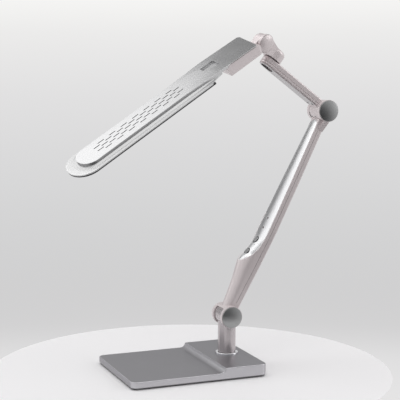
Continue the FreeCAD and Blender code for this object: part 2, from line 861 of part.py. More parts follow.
# The slot for the post's tongue, open between the two lips of the saddle; the lips lie 24 degrees
# above the front and 37 degrees above the back of the knuckle
slot_radius = tongue_radius + knuckle_gap
lip_front_x = 0.9135
lip_front_z = 0.4067
lip_back_x = 0.7986
lip_back_z = 0.6018
clear = cheek_radius * 1.2
slot = sketch_on(shell, "XZ_Plane")
outline(slot, [(-slot_radius * lip_back_x, slot_radius * lip_back_z, -slot_radius),
               (0, slot_radius, -slot_radius),
               (slot_radius * lip_front_x, slot_radius * lip_front_z),
               (clear * lip_front_x, clear * lip_front_z), (clear, -clear), (-clear, -clear),
               (-clear * lip_back_x, clear * lip_back_z)])
pocket(shell, slot, cheek_inner * 2, both=True)
elbow_slot = sketch_on(shell, "XZ_Plane")
circle(elbow_slot, cheek_radius + knuckle_gap / 2, 0, arm_length)
pocket(shell, elbow_slot, cheek_inner * 2, both=True)


def knuckle_bores(owner, z):
    through = sketch_on(owner, "XZ_Plane")
    circle(through, bolt_radius + fit_gap / 2, 0, z)
    pocket(owner, through, cheek_outer * 3, both=True)
    far = sketch_on(owner, "XZ_Plane", cheek_outer)
    circle(far, bolt_sink, 0, z)
    pocket(owner, far, bolt_head_height + fit_gap)
    close = sketch_on(owner, "XZ_Plane", -cheek_outer)
    circle(close, bolt_sink, 0, z)
    pocket(owner, close, bolt_head_height + fit_gap, back=True)


knuckle_bores(shell, 0)
knuckle_bores(shell, arm_length)

# The half of the arm behind the seam belongs to the rear cover
cover_low = cheek_radius + arm_round * 2
rebate = sketch_on(shell, "XZ_Plane")
outline(rebate, [(-cheek_radius, cover_low), (-arm_seam, cover_low),
                 (-arm_seam, top_station), (-cheek_radius, top_station)])
pocket(shell, rebate, cheek_outer * 3, both=True)
board_half = top_half - arm_round
cavity_low = club_top + arm_round * 2
cavity = sketch_on(shell, "YZ_Plane", -arm_seam)
outline(cavity, rounded(-board_half, board_half, cavity_low, top_station - board_half,
                        arm_round))
pocket(shell, cavity, board_thickness + arm_seam + fit_gap * 2, back=True)


# Stations of the front panel and its half width there
panel_stations = [
    (club_top + 0.8, club_half * 0.14, panel_crown * 0.2),
    (club_top + 2.5, club_half * 0.33, scoop_crown * 0.2),
    (club_top + 5, club_half * 0.52, scoop_crown * 0.4),
    (club_top + 9, club_half * 0.72, scoop_crown * 0.7),
    (scoop_low + 0, club_half * 0.94, scoop_crown * 0.95),
    (scoop_low + 7, club_half * 1.03, scoop_crown + 0),
    (scoop_high + 0, club_half * 1.09, scoop_crown + 0),
    (slope_end + 0, wide_half - panel_lip, panel_crown * 1.5),
    (flat_start + 0, wide_half - panel_lip, panel_crown + 0),
    (mid_station, mid_half - panel_lip, panel_crown + 0),
    (top_station + 0, top_half - panel_lip, panel_crown + 0),
    (top_station + 8, top_half * 0.84, panel_crown * 0.9),
    (top_station + 11, top_half * 0.6, panel_crown * 0.7),
    (top_station + 13, top_half * 0.25, panel_crown * 0.5)]


def strip(owner, grow, kind, crowned):
    """The panel, or the recess for it: one section at each station, joined."""
    drawn = []
    for station, half, crown in panel_stations:
        front = front_of(station) - panel_drop
        section = sketch_on(owner, "XY_Plane", station)
        low = front - panel_thickness - grow
        half = half + grow
        if crowned:
            bend = (half * half + crown * crown) / (crown * 2)
            outline(section, [(low, -half), (front, -half, bend), (front, half), (low, half)])
        else:
            high = front + panel_thickness * 2
            outline(section, [(low, -half), (high, -half), (high, half), (low, half)])
        drawn.append(section)
    return loft(owner, drawn, kind)


strip(shell, fit_gap / 2, "PartDesign::SubtractiveLoft", False)

rear = body("lower_arm_rear_cover")
rear_face = -arm_seam - seam_gap


def rear_section(owner, station, half):
    drawn = sketch_on(owner, "XY_Plane", station)
    outline(drawn, [(rear_face, -half), (rear_face, half),
                    (arm_round - arm_back, half, arm_round), (-arm_back, half - arm_round),
                    (-arm_back, arm_round - half, arm_round), (arm_round - arm_back, -half)])
    return drawn


low_share = (cover_low - root_station) / (heel_station - root_station)
low_half = root_half + (heel_half - root_half) * low_share
loft(rear, [rear_section(rear, cover_low + seam_gap, low_half)]
     + [rear_section(rear, station, half) for station, front, half in club[1:]]
     + [rear_section(rear, flat_start, wide_half),
        rear_section(rear, mid_station, mid_half),
        rear_section(rear, top_station - seam_gap, top_half)])
rear_hollow = sketch_on(rear, "YZ_Plane", rear_face)
outline(rear_hollow, rounded(-board_half, board_half, cavity_low,
                             top_station - board_half, arm_round))
pocket(rear, rear_hollow, arm_back + rear_face - board_thickness)
place(rear, knuckle_spot, lower_turn)

panel = body("control_panel")
strip(panel, -fit_gap / 2, "PartDesign::AdditiveLoft", True)


def crown_of(station):
    """Height of the panel's crowned middle at a station."""
    station = as_size(station)
    for low, high in zip(panel_stations, panel_stations[1:]):
        if station.value < high[0].value:
            share = (station - low[0]) / (high[0] - low[0])
            return front_of(station) - panel_drop + low[2] + (high[2] - low[2]) * share
    return front_of(station) - panel_drop + panel_crown


slope = (crown_of(button_low) - crown_of(button_high)) / (button_high - button_low)
slant_turn = Rotation(Vector(0, 1, 0), 90 - math.degrees(math.atan(slope.value)))
outward = slant_turn.multVec(Vector(0, 0, 1))


def slanted_sketch(owner, station, lift):
    """A sketch parallel to the slanted lower end of the panel, centred on a station."""
    made = owner.newObject("Sketcher::SketchObject", owner.Label + "_slant")
    made.AttachmentSupport = (plane(owner, "XY_Plane"), "")
    made.MapMode = "FlatFace"
    x = crown_of(station) + as_size(lift) * outward.x
    z = station + as_size(lift) * outward.z
    made.AttachmentOffset = Placement(Vector(x.value, 0, z.value), slant_turn)
    made.setExpression("AttachmentOffset.Base.x", x.text)
    made.setExpression("AttachmentOffset.Base.z", z.text)
    return made


button_well = panel_thickness + button_proud
for station in (button_low, button_high):
    well = slanted_sketch(panel, station, button_proud)
    circle(well, button_radius + button_gap)
    pocket(panel, well, button_well * 2)
    for owner in (panel, shell):
        stem_hole = slanted_sketch(owner, station, 0)
        circle(stem_hole, screw_radius + button_gap)
        pocket(owner, stem_hole, crown_of(station) + arm_seam)

lens_holes = sketch_on(panel, "YZ_Plane", arm_edge + panel_crown)
circle(lens_holes, lens_radius + fit_gap / 2, 0, lens_low)
circle(lens_holes, lens_radius + fit_gap / 2, 0, lens_high)
pocket(panel, lens_holes, panel_crown + panel_thickness * 2)
place(panel, knuckle_spot, lower_turn)
place(shell, knuckle_spot, lower_turn)

lenses = body("indicator_lenses")
drawn = sketch_on(lenses, "YZ_Plane", arm_edge - panel_thickness)
circle(drawn, lens_radius, 0, lens_low)
circle(drawn, lens_radius, 0, lens_high)
pad(lenses, drawn, panel_thickness + panel_crown - panel_drop)
place(lenses, knuckle_spot, lower_turn)


def button(label, station):
    made = body(label)
    drawn = sketch_on(made, "XZ_Plane")
    depth = (crown_of(station) - board_thickness - button_travel - fit_gap * 4) / outward.x
    outline(drawn, [(0, -depth), (screw_radius, -depth), (screw_radius, -panel_thickness),
                    (button_radius, -panel_thickness), (button_radius, button_proud / 2),
                    (button_radius - button_proud / 2, button_proud), (0, button_proud)])
    revolve(made, drawn)
    place(made, moved(knuckle_spot, [(crown_of(station), lower_across),
                                     (station, lower_along)]),
          lower_turn.multiply(slant_turn))
    return made


button("power_button", button_low)
button("mode_button", button_high)

board = body("control_board")
drawn = sketch_on(board, "YZ_Plane", 0)
outline(drawn, rounded(fit_gap - board_half, board_half - fit_gap, cavity_low + fit_gap,
                       lens_high + board_half, arm_round))
pad(board, drawn, board_thickness)
place(board, knuckle_spot, lower_turn)

# The elbow and the upper arm, drawn with X along the arm and Z to its top face
knuckle_hardware("elbow", elbow_spot, lower_turn)
friction_washers("elbow_washers", elbow_spot, upper_turn, washer_radius,
                 bolt_radius + fit_gap / 2, washer_thickness,
                 -half_tongue - fit_gap / 2, half_tongue + fit_gap / 2 + washer_thickness)

hub_radius = cheek_radius - knuckle_gap / 2
bar_half = bar_width / 2
bar_end = reach + bar_overrun
swivel_hole = bolt_radius + fit_gap / 2


def bar_outline(owner, lift, start, half):
    """Bar seen from above: square at the hub and round about the head's swivel axis."""
    drawn = sketch_on(owner, "XY_Plane", lift)
    outline(drawn, [(start, -half), (bar_end, -half, half), (bar_end + half, 0, half),
                    (bar_end, half), (start, half)])
    return drawn


upper = body("upper_arm_shell")
pad(upper, bar_outline(upper, -bar_bottom, 0, bar_half), bar_bottom + bar_top)


def long_edge(edge):
    box = edge.BoundBox
    flat = box.ZLength < 0.01
    return flat and box.XMax > 1 and box.XLength > 1


fillet(upper, long_edge, bar_round)
hub = sketch_on(upper, "XZ_Plane")
circle(hub, hub_radius)
pad(upper, hub, tongue_width, both=True)
through = sketch_on(upper, "XZ_Plane")
circle(through, swivel_hole)
pocket(upper, through, tongue_width * 2, both=True)
for level in (-groove_low, groove_high):
    groove = sketch_on(upper, "XY_Plane", level)
    inner = bar_half - groove_depth
    outer = bar_half + groove_depth
    start = hub_radius + groove_depth
    outline(groove, [(start, -inner), (bar_end, -inner, inner), (bar_end + inner, 0, inner),
                     (bar_end, inner), (start, inner), (start, outer), (bar_end + outer, outer),
                     (bar_end + outer, -outer), (start, -outer)])
    pocket(upper, groove, groove_width)
recess = bar_outline(upper, -bar_bottom, plate_start, plate_half + fit_gap / 2)
pocket(upper, recess, plate_thickness, back=True)
dish_start = reach - dish_length / 2 - 1
dish = sketch_on(upper, "XY_Plane", -bar_bottom)
outline(dish, stadium(dish_start, dish_start + dish_length, dish_half))
pocket(upper, dish, plate_thickness + bolt_head_height, back=True)
swivel_bore = sketch_on(upper, "XY_Plane", bar_top)
circle(swivel_bore, swivel_hole, reach, 0)
pocket(upper, swivel_bore, bar_top + bar_bottom)
tapped = sketch_on(upper, "XY_Plane", -bar_bottom)
plate_screw_spots = [(plate_start + 5.5, -plate_half / 2), (plate_start + 2.5, plate_half / 2)]
for x, y in plate_screw_spots:
    circle(tapped, plate_screw_radius + fit_gap / 2, x, y)
pocket(upper, tapped, screw_length, back=True)
place(upper, elbow_spot, upper_turn)

plate = body("upper_arm_plate")
pad(plate, bar_outline(plate, -bar_bottom, plate_start + fit_gap / 2, plate_half),
    plate_thickness - fit_gap / 2)
dish = sketch_on(plate, "XY_Plane", -bar_bottom)
outline(dish, stadium(dish_start, dish_start + dish_length, dish_half))
pocket(plate, dish, plate_thickness * 2, back=True)
holes = sketch_on(plate, "XY_Plane", -bar_bottom)
plate_screw_head = plate_screw_radius * 2
for x, y in plate_screw_spots:
    circle(holes, plate_screw_head + fit_gap / 2, x, y)
pocket(plate, holes, plate_thickness * 2, back=True)
place(plate, elbow_spot, upper_turn)

plate_screws = body("upper_arm_screws")
drawn = sketch_on(plate_screws, "XY_Plane", -bar_bottom)
for x, y in plate_screw_spots:
    circle(drawn, plate_screw_head, x, y)
pad(plate_screws, drawn, plate_thickness - fit_gap / 2)
drawn = sketch_on(plate_screws, "XY_Plane", plate_thickness - bar_bottom - fit_gap)
for x, y in plate_screw_spots:
    circle(drawn, plate_screw_radius, x, y)
pad(plate_screws, drawn, screw_length - plate_thickness)
place(plate_screws, elbow_spot, upper_turn)

# The head's swivel housing, drawn with Z up the swivel axis and X to the tilt axis
swivel_disc = disc("head_swivel_washer", foot_radius * 0.8, swivel_hole, foot_gap - fit_gap)
place(swivel_disc, housing_spot, housing_turn, (0, 0, fit_gap / 2))
swivel_bolt = bolt("head_swivel_bolt", bolt_radius, bar_top + foot_height / 2,
                   dish_half - fit_gap * 4, bolt_head_height - fit_gap * 2)
bolt_low = plate_thickness - bar_bottom - bar_top + fit_gap
place(swivel_bolt, housing_spot, housing_turn, (0, 0, bolt_low))

housing = body("head_swivel_housing")
foot = sketch_on(housing, "XZ_Plane")
outline(foot, [(0, foot_gap), (foot_radius, foot_gap),
               (foot_radius, foot_height - foot_round, foot_round),
               (foot_radius - foot_round, foot_height), (0, foot_height)])
revolve(housing, foot)
web_height = foot_height - web_drop


def web(owner, near_face, depth, radius, front_x):
    """A plate across the tilt axis: from the foot to an eye round the axis."""
    drawn = sketch_on(owner, "XZ_Plane", -near_face)
    circle(drawn, radius, tilt_forward, tilt_above)
    pad(owner, drawn, depth)
    drawn = sketch_on(owner, "XZ_Plane", -near_face)
    outline(drawn, [(0, foot_gap), (foot_radius, foot_gap),
                    (tilt_forward - radius * 0.35, tilt_above - radius * 0.93),
                    (front_x, tilt_above), (tilt_forward - radius * 0.55, tilt_above + radius * 0.83),
                    (foot_radius * 0.8, web_height), (0, web_height)])
    pad(owner, drawn, depth)


web(housing, tilt_near, tilt_cheek, tilt_radius, tilt_forward + tilt_radius / 2)
web(housing, tilt_far_cheek - tilt_far, tilt_far_cheek, tilt_far_radius,
    tilt_forward + tilt_far_radius / 2)
block = sketch_on(housing, "XZ_Plane", -tilt_near)
block_end = tilt_forward - tilt_tongue / 2
outline(block, [(0, foot_gap), (foot_radius, foot_gap),
                (block_end, tilt_above - tilt_tongue * 0.8),
                (block_end, web_height), (0, web_height)])
pad(housing, block, tilt_near + tilt_far)
slot_gap = fit_gap * 2
tongue_slot = sketch_on(housing, "XZ_Plane", tilt_cheek - tilt_near)
circle(tongue_slot, tilt_tongue + slot_gap * 2, tilt_forward, tilt_above)
pocket(housing, tongue_slot, tilt_near - tilt_cheek + tilt_far - tilt_far_cheek, back=True)
through = sketch_on(housing, "XZ_Plane")
circle(through, tilt_bolt + fit_gap / 2, tilt_forward, tilt_above)
pocket(housing, through, tilt_radius * 3, both=True)
tilt_head = tilt_bolt * 1.7
tilt_head_height = tilt_cheek * 0.6
sunk = sketch_on(housing, "XZ_Plane", -tilt_near)
circle(sunk, tilt_head + slot_gap, tilt_forward, tilt_above)
pocket(housing, sunk, tilt_head_height + fit_gap, back=True)
sunk = sketch_on(housing, "XZ_Plane", tilt_far)
circle(sunk, tilt_head + slot_gap, tilt_forward, tilt_above)
pocket(housing, sunk, tilt_head_height + fit_gap)
tapped = sketch_on(housing, "XY_Plane", foot_gap)
circle(tapped, swivel_hole, 0, 0)
pocket(housing, tapped, foot_height * 0.7, back=True)
place(housing, housing_spot, housing_turn)

tilt_spot = head_spot
made = cap("head_tilt_cap", tilt_radius * 0.96, tilt_cap_edge, tilt_cap_crown)
place(made, tilt_spot, housing_turn.multiply(to_near), (0, 0, tilt_near + fit_gap / 4))
tilt_span = tilt_near + tilt_far - tilt_head_height - fit_gap * 2
made = bolt("head_tilt_bolt", tilt_bolt, tilt_span, tilt_head, tilt_head_height)
place(made, tilt_spot, housing_turn.multiply(to_far), (0, 0, -tilt_near + fit_gap / 2))
made = hexagon_nut("head_tilt_nut", tilt_head * 1.75, tilt_bolt + fit_gap / 2, tilt_head_height)
place(made, tilt_spot, housing_turn.multiply(to_far), (0, 0, tilt_far - tilt_head_height - fit_gap))

# The light head, drawn with X forward from the tilt axis and Z to its top face
tongue_near = tilt_near - tilt_cheek - slot_gap - fit_gap
tongue_far = tilt_far - tilt_far_cheek - slot_gap - fit_gap
friction_washers("head_tilt_washers", tilt_spot, head_turn, tilt_tongue * 0.7,
                 tilt_bolt + fit_gap / 2, slot_gap, tongue_near + slot_gap + fit_gap / 2,
                 -tongue_far - fit_gap / 2)

neck_fall = neck_drop / (neck_bend - neck_start)


def neck_level(x):
    """Height of the neck plate's top face behind the bend."""
    return head_top - (neck_bend - x) * neck_fall


bracket = body("head_bracket")
box_half = neck_half - box_inset
underside = skin + fit_gap
box_low = -bracket_bottom
notch_x = pocket_start - skin * 2
notch_z = tray_depth + deck_step / 2
plan = sketch_on(bracket, "XY_Plane", box_low)
outline(plan, rounded(box_start, bracket_end, -box_half, box_half, box_round))
pad(bracket, plan, head_top + bracket_bottom)
square = sketch_on(bracket, "XY_Plane", box_low)
outline(square, [(bracket_end - box_round * 1.5, -box_half), (bracket_end, -box_half),
                 (bracket_end, box_half), (bracket_end - box_round * 1.5, box_half)])
pad(bracket, square, head_top + bracket_bottom)
over = sketch_on(bracket, "XZ_Plane")
above = head_top * 2
outline(over, [(box_start - 1, tilt_tongue * 0.56), (box_start, tilt_tongue * 0.56),
               (neck_start, neck_level(neck_start) - underside),
               (notch_x, neck_level(notch_x) - underside), (notch_x, notch_z),
               (bracket_end + 1, notch_z), (bracket_end + 1, above), (box_start - 1, above)])
pocket(bracket, over, tray_half * 2, both=True)
lean_cut = sketch_on(bracket, "XZ_Plane")
outline(lean_cut, [(bracket_end - front_lean, box_low - 1), (bracket_end + 1, box_low - 1),
                   (bracket_end + 1, notch_z), (bracket_end, notch_z),
                   (bracket_end - front_lean, box_low)])
pocket(bracket, lean_cut, tray_half * 2, both=True)
inside = sketch_on(bracket, "XY_Plane", head_top)
outline(inside, rounded(neck_start + 3, notch_x - 3, 3 - box_half, box_half - 3, 3))
pocket(bracket, inside, head_top + bracket_bottom - skin)
eye = sketch_on(bracket, "XZ_Plane", -tongue_near)
circle(eye, tilt_tongue)
pad(bracket, eye, tongue_near + tongue_far)
arm = sketch_on(bracket, "XZ_Plane", -tongue_near)
outline(arm, [(0, -tilt_tongue), (tilt_tongue * 0.74, -tilt_tongue * 0.67),
              (box_start + 3, box_low), (box_start + 3, tilt_tongue * 0.6),
              (tilt_tongue * 0.5, tilt_tongue * 0.86), (0, tilt_tongue)])
pad(bracket, arm, tongue_near + tongue_far)
through = sketch_on(bracket, "XZ_Plane")
circle(through, tilt_bolt + fit_gap / 2)
pocket(bracket, through, tilt_radius * 3, both=True)
place(bracket, head_spot, head_turn)


def head_outline(start_x, start_half, shoulder_x, half, end_x):
    """Outline of one layer of the head, with a concave shoulder behind its straight sides."""
    run = shoulder_x - start_x
    rise = half - start_half
    curve = (run * run + rise * rise) / (rise * 2)
    return [(start_x, -start_half, -curve), (shoulder_x, -half), (end_x - half, -half, half),
            (end_x, 0, half), (end_x - half, half), (shoulder_x, half, -curve),
            (start_x, start_half)]


deck_level = tray_depth + deck_step / 2 + fit_gap * 7
top = body("head_top_cover")
side = sketch_on(top, "XZ_Plane")
outline(side, [(neck_start, neck_level(neck_start) - skin), (neck_start, neck_level(neck_start)),
               (neck_bend, head_top), (deck_end, head_top), (deck_end, deck_level),
               (notch_x, deck_level), (notch_x, neck_level(notch_x) - skin)])
pad(top, side, tray_half * 2, both=True)
neck_wide = neck_half + neck_flare
deck_shoulder = neck_bend + shoulder_run
trim = sketch_on(top, "XY_Plane", head_top)
margin = tray_half * 1.2
outline(trim, [(neck_start - 1, -margin), (deck_end + 1, -margin), (deck_end + 1, margin),
               (neck_start - 1, margin)])
outline(trim, [(neck_start, neck_corner - neck_half, neck_corner),
               (neck_start + neck_corner, -neck_half), (neck_bend, -neck_wide),
               (deck_shoulder, -deck_half), (deck_end - deck_half, -deck_half, deck_half),
               (deck_end, 0, deck_half), (deck_end - deck_half, deck_half),
               (deck_shoulder, deck_half), (neck_bend, neck_wide),
               (neck_start + neck_skew + neck_corner, neck_half, neck_corner),
               (neck_start + neck_skew, neck_half - neck_corner)])
pocket(top, trim, head_top * 2)
under = sketch_on(top, "XY_Plane", deck_level)
deck_inner = deck_half - skin
inner_start = pocket_start + pocket_length + skin * 3
outline(under, [(inner_start, -deck_inner), (deck_end - deck_half, -deck_inner, deck_inner),
                (deck_end - skin, 0, deck_inner), (deck_end - deck_half, deck_inner),
                (inner_start, deck_inner)])
pocket(top, under, head_top - skin - deck_level, back=True)
tub_low = -pocket_shift - pocket_width / 2
tub_high = pocket_width / 2 - pocket_shift
well = sketch_on(top, "XY_Plane", head_top)
outline(well, rounded(pocket_start, pocket_start + pocket_length, tub_low, tub_high,
                      pocket_corner))
pocket(top, well, pocket_depth - fit_gap * 4)


def vent_row(first_x, levels, count):
    drawn = sketch_on(top, "XY_Plane", head_top)
    for level in levels:
        outline(drawn, stadium(first_x, first_x + slot_length, slot_width / 2,
                               slot_spacing * level))
    cut = pocket(top, drawn, skin * 2)
    row = top.newObject("PartDesign::LinearPattern", "vent_row")
    row.Originals = [cut]
    row.Direction = (drawn, ["H_Axis"])
    bind(row, "Length", slot_pitch * (count - 1))
    row.Occurrences = count
    top.Tip = row


vent_row(slot_start + slot_pitch / 2, (-2, 0, 2), 7)
vent_row(slot_start + 0, (-1, 1), 8)
place(top, head_spot, head_turn)

tray = body("head_tray")
flange_level = tray_depth + tray_rim
tray_wide = neck_half - tray_tuck
tray_back = neck_bend - tray_overlap
shelf_half = deck_half + skin / 2
shelf_shoulder = tray_start + shelf_run
flange_sketch = sketch_on(tray, "XY_Plane", tray_depth)
outline(flange_sketch, head_outline(tray_back, tray_wide, tray_start, tray_half, tray_end))
pad(tray, flange_sketch, tray_rim)
low_ring = sketch_on(tray, "XY_Plane", flange_level)
outline(low_ring, head_outline(tray_back, tray_wide, tray_start, tray_half, tray_end))
high_level = deck_level - fit_gap / 2


def dish_ring(level, half, end_x):
    drawn = sketch_on(tray, "XY_Plane", level)
    outline(drawn, [(tray_back, -tray_wide), (shelf_shoulder, -half), (end_x - half, -half, half),
                    (end_x, 0, half), (end_x - half, half), (shelf_shoulder, half),
                    (tray_back, tray_wide)])
    return drawn


shelf_end = deck_end - deck_half + shelf_half
dish_half = shelf_half + (tray_half - shelf_half) * 0.4
dish_end = shelf_end + (tray_end - shelf_end) * 0.4
dish_level = flange_level + (high_level - flange_level) * 0.25
loft(tray, [low_ring, dish_ring(dish_level, dish_half, dish_end),
            dish_ring(high_level, shelf_half, shelf_end)])
opening = sketch_on(tray, "XY_Plane", tray_depth)
outline(opening, [(inner_start, -deck_inner), (deck_end - deck_half, -deck_inner, deck_inner),
                  (deck_end - skin, 0, deck_inner), (deck_end - deck_half, deck_inner),
                  (inner_start, deck_inner)])
pocket(tray, opening, head_top, back=True)

# The black frame under the tray, the light guide it holds and the layers above the guide
frame_start = inner_start
frame_half = tray_half - frame_inset
guide_half = frame_half - frame_width


def layer(owner, lift, start, half):
    """A round-ended layer of the head, open to nothing behind its straight rear edge."""
    drawn = sketch_on(owner, "XY_Plane", lift)
    middle = tray_end - tray_half
    outline(drawn, [(start, -half), (middle, -half, half), (middle + half, 0, half),
                    (middle, half), (start, half)])
    return drawn


screw_line = frame_half - frame_width / 2
screw_stations = [tray_start + 12, (tray_start + tray_end) / 2 - 8, tray_end - tray_half]
frame_spots = []
for station in screw_stations:
    frame_spots.append((station, screw_line))
    frame_spots.append((station, -screw_line))
frame_low = tray_depth - frame_height
frame = body("head_frame")
pad(frame, layer(frame, frame_low, frame_start, frame_half), frame_height)
ledge_half = guide_half - 1
pocket(frame, layer(frame, frame_low, frame_start + frame_width, ledge_half),
       frame_height * 2, back=True)
pocket(frame, layer(frame, tray_depth, frame_start + frame_width - 1, guide_half + fit_gap),
       guide_thickness / 2 + fit_gap / 2)
drawn = sketch_on(frame, "XY_Plane", frame_low)
for x, y in frame_spots:
    circle(drawn, frame_screw + fit_gap / 2, x, y)
pocket(frame, drawn, frame_height * 2, back=True)
drawn = sketch_on(frame, "XY_Plane", frame_low)
frame_screw_head = frame_screw * 1.9
frame_head_height = frame_height * 0.4
for x, y in frame_spots:
    circle(drawn, frame_screw_head + fit_gap / 2, x, y)
pocket(frame, drawn, frame_head_height, back=True)
place(frame, head_spot, head_turn)

guide = body("light_guide")
pad(guide, layer(guide, tray_depth - guide_thickness / 2, frame_start + frame_width - 1 + fit_gap,
                 guide_half), guide_thickness / 2 - fit_gap / 2)
place(guide, head_spot, head_turn)

drawn = sketch_on(tray, "XY_Plane", tray_depth)
for x, y in frame_spots:
    circle(drawn, frame_screw + fit_gap / 2, x, y)
pocket(tray, drawn, tray_rim, back=True)
place(tray, head_spot, head_turn)

frame_screws = body("head_frame_screws")
drawn = sketch_on(frame_screws, "XY_Plane", frame_low)
for x, y in frame_spots:
    circle(drawn, frame_screw_head, x, y)
pad(frame_screws, drawn, frame_head_height - fit_gap / 2)
drawn = sketch_on(frame_screws, "XY_Plane", frame_low + frame_head_height / 2)
for x, y in frame_spots:
    circle(drawn, frame_screw, x, y)
pad(frame_screws, drawn, frame_height - frame_head_height / 2 + tray_rim * 0.9)
place(frame_screws, head_spot, head_turn)


def core(owner, lift, inset):
    """A layer that fits inside the deck's skirt."""
    drawn = sketch_on(owner, "XY_Plane", lift)
    half = deck_inner - inset
    outline(drawn, [(inner_start + inset, -half), (deck_end - deck_half, -half, half),
                    (deck_end - deck_half + half, 0, half),
                    (deck_end - deck_half, half), (inner_start + inset, half)])
    return drawn


spreader = body("heat_spreader")
spreader_top = head_top - skin - fit_gap / 2
pad(spreader, core(spreader, spreader_top - spreader_thickness, fit_gap), spreader_thickness)
place(spreader, head_spot, head_turn)

led_board = body("led_board")
led_top = spreader_top - spreader_thickness - fit_gap / 2
pad(led_board, core(led_board, led_top - board_thickness, fit_gap * 2), board_thickness)
led_row = sketch_on(led_board, "XY_Plane", led_top - board_thickness)
led_size = strip_width / 2
for side_sign in (1, -1):
    level = strip_width * 2 * side_sign
    outline(led_row, [(tray_start + 10, level - led_size / 2),
                      (tray_start + 10 + led_size, level - led_size / 2),
                      (tray_start + 10 + led_size, level + led_size / 2),
                      (tray_start + 10, level + led_size / 2)])
led_pad = pad(led_board, led_row, led_size / 4, back=True)
leds = led_board.newObject("PartDesign::LinearPattern", "leds")
leds.Originals = [led_pad]
leds.Direction = (led_row, ["H_Axis"])
bind(leds, "Length", strip_width * 36)
leds.Occurrences = 13
led_board.Tip = leds
place(led_board, head_spot, head_turn)

# Check every object, then write one file for each piece
doc.recompute()
for item in doc.Objects:
    if "Invalid" in item.State or "Error" in item.State:
        raise RuntimeError(item.Label + " did not compute")

for part in parts:
    volume = 0
    features = part.Group if part.TypeId == "PartDesign::Body" else []
    for feature in features:
        if not feature.TypeId.startswith("PartDesign::"):
            continue
        if abs(feature.Shape.Volume - volume) < 0.01:
            raise RuntimeError(part.Label + ": " + feature.Name + " changed nothing")
        volume = feature.Shape.Volume
    if part.Shape.isNull() or not part.Shape.isValid():
        raise RuntimeError(part.Label + " has no valid shape")

os.makedirs("parts", exist_ok=True)
for part in parts:
    part.Shape.exportStep("parts/" + part.Label + ".step")
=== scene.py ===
import json
import math

import bmesh
import bpy
from mathutils import Matrix, Vector
from mathutils.bvhtree import BVHTree


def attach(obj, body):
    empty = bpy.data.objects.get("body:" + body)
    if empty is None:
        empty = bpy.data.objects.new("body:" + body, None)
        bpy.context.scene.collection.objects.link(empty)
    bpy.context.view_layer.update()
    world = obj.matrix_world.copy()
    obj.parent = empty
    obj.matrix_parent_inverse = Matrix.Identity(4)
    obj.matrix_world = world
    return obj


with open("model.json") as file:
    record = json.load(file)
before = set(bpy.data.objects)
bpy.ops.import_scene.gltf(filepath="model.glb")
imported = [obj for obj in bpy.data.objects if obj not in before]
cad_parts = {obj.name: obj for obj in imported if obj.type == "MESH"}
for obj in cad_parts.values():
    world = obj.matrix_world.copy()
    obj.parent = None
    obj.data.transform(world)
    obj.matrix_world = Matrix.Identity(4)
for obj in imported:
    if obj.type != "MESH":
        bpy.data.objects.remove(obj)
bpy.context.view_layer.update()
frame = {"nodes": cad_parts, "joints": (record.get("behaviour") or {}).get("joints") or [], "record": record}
nodes = frame["nodes"]
scene = bpy.context.scene
scene.view_settings.view_transform = "Standard"

# Sizes of the lamp's small pieces are in millimetres, in the frame of the group that carries them
MM = 0.001

# Camera, matched to the photograph
eye = Vector((0.58408, 1.52466, 0.44631))
look = Vector((-0.3703, -0.9208, -0.1223)).normalized()
right = Vector((-0.9278, 0.3730, 0.0015)).normalized()
up = right.cross(look).normalized()
right = look.cross(up).normalized()
camera_data = bpy.data.cameras.new("camera")
camera_data.lens = 105.03
camera_data.sensor_width = 36
camera_data.clip_end = 30
camera = bpy.data.objects.new("camera", camera_data)
camera.matrix_world = Matrix((
    (right.x, up.x, -look.x, eye.x),
    (right.y, up.y, -look.y, eye.y),
    (right.z, up.z, -look.z, eye.z),
    (0, 0, 0, 1)))
scene.collection.objects.link(camera)
scene.camera = camera


# Finishes
def new_group(name, inputs, outputs):
    """A shader node group with plain number and colour sockets."""
    group = bpy.data.node_groups.new(name, "ShaderNodeTree")
    for label, kind, value in inputs:
        socket = group.interface.new_socket(label, in_out="INPUT", socket_type=kind)
        socket.default_value = value
    for label, kind in outputs:
        group.interface.new_socket(label, in_out="OUTPUT", socket_type=kind)
    start = group.nodes.new("NodeGroupInput")
    end = group.nodes.new("NodeGroupOutput")
    return group, start, end


def math_node(tree, operation, *values):
    """A Math node; each value is a socket to link or a plain number."""
    node = tree.nodes.new("ShaderNodeMath")
    node.operation = operation
    for socket, value in zip(node.inputs, values):
        if isinstance(value, bpy.types.NodeSocket):
            tree.links.new(value, socket)
        else:
            socket.default_value = value
    return node.outputs[0]


cloud_scale = 28
noise_middle = 0.5
edge_begins = 0.51
edge_full = 0.6


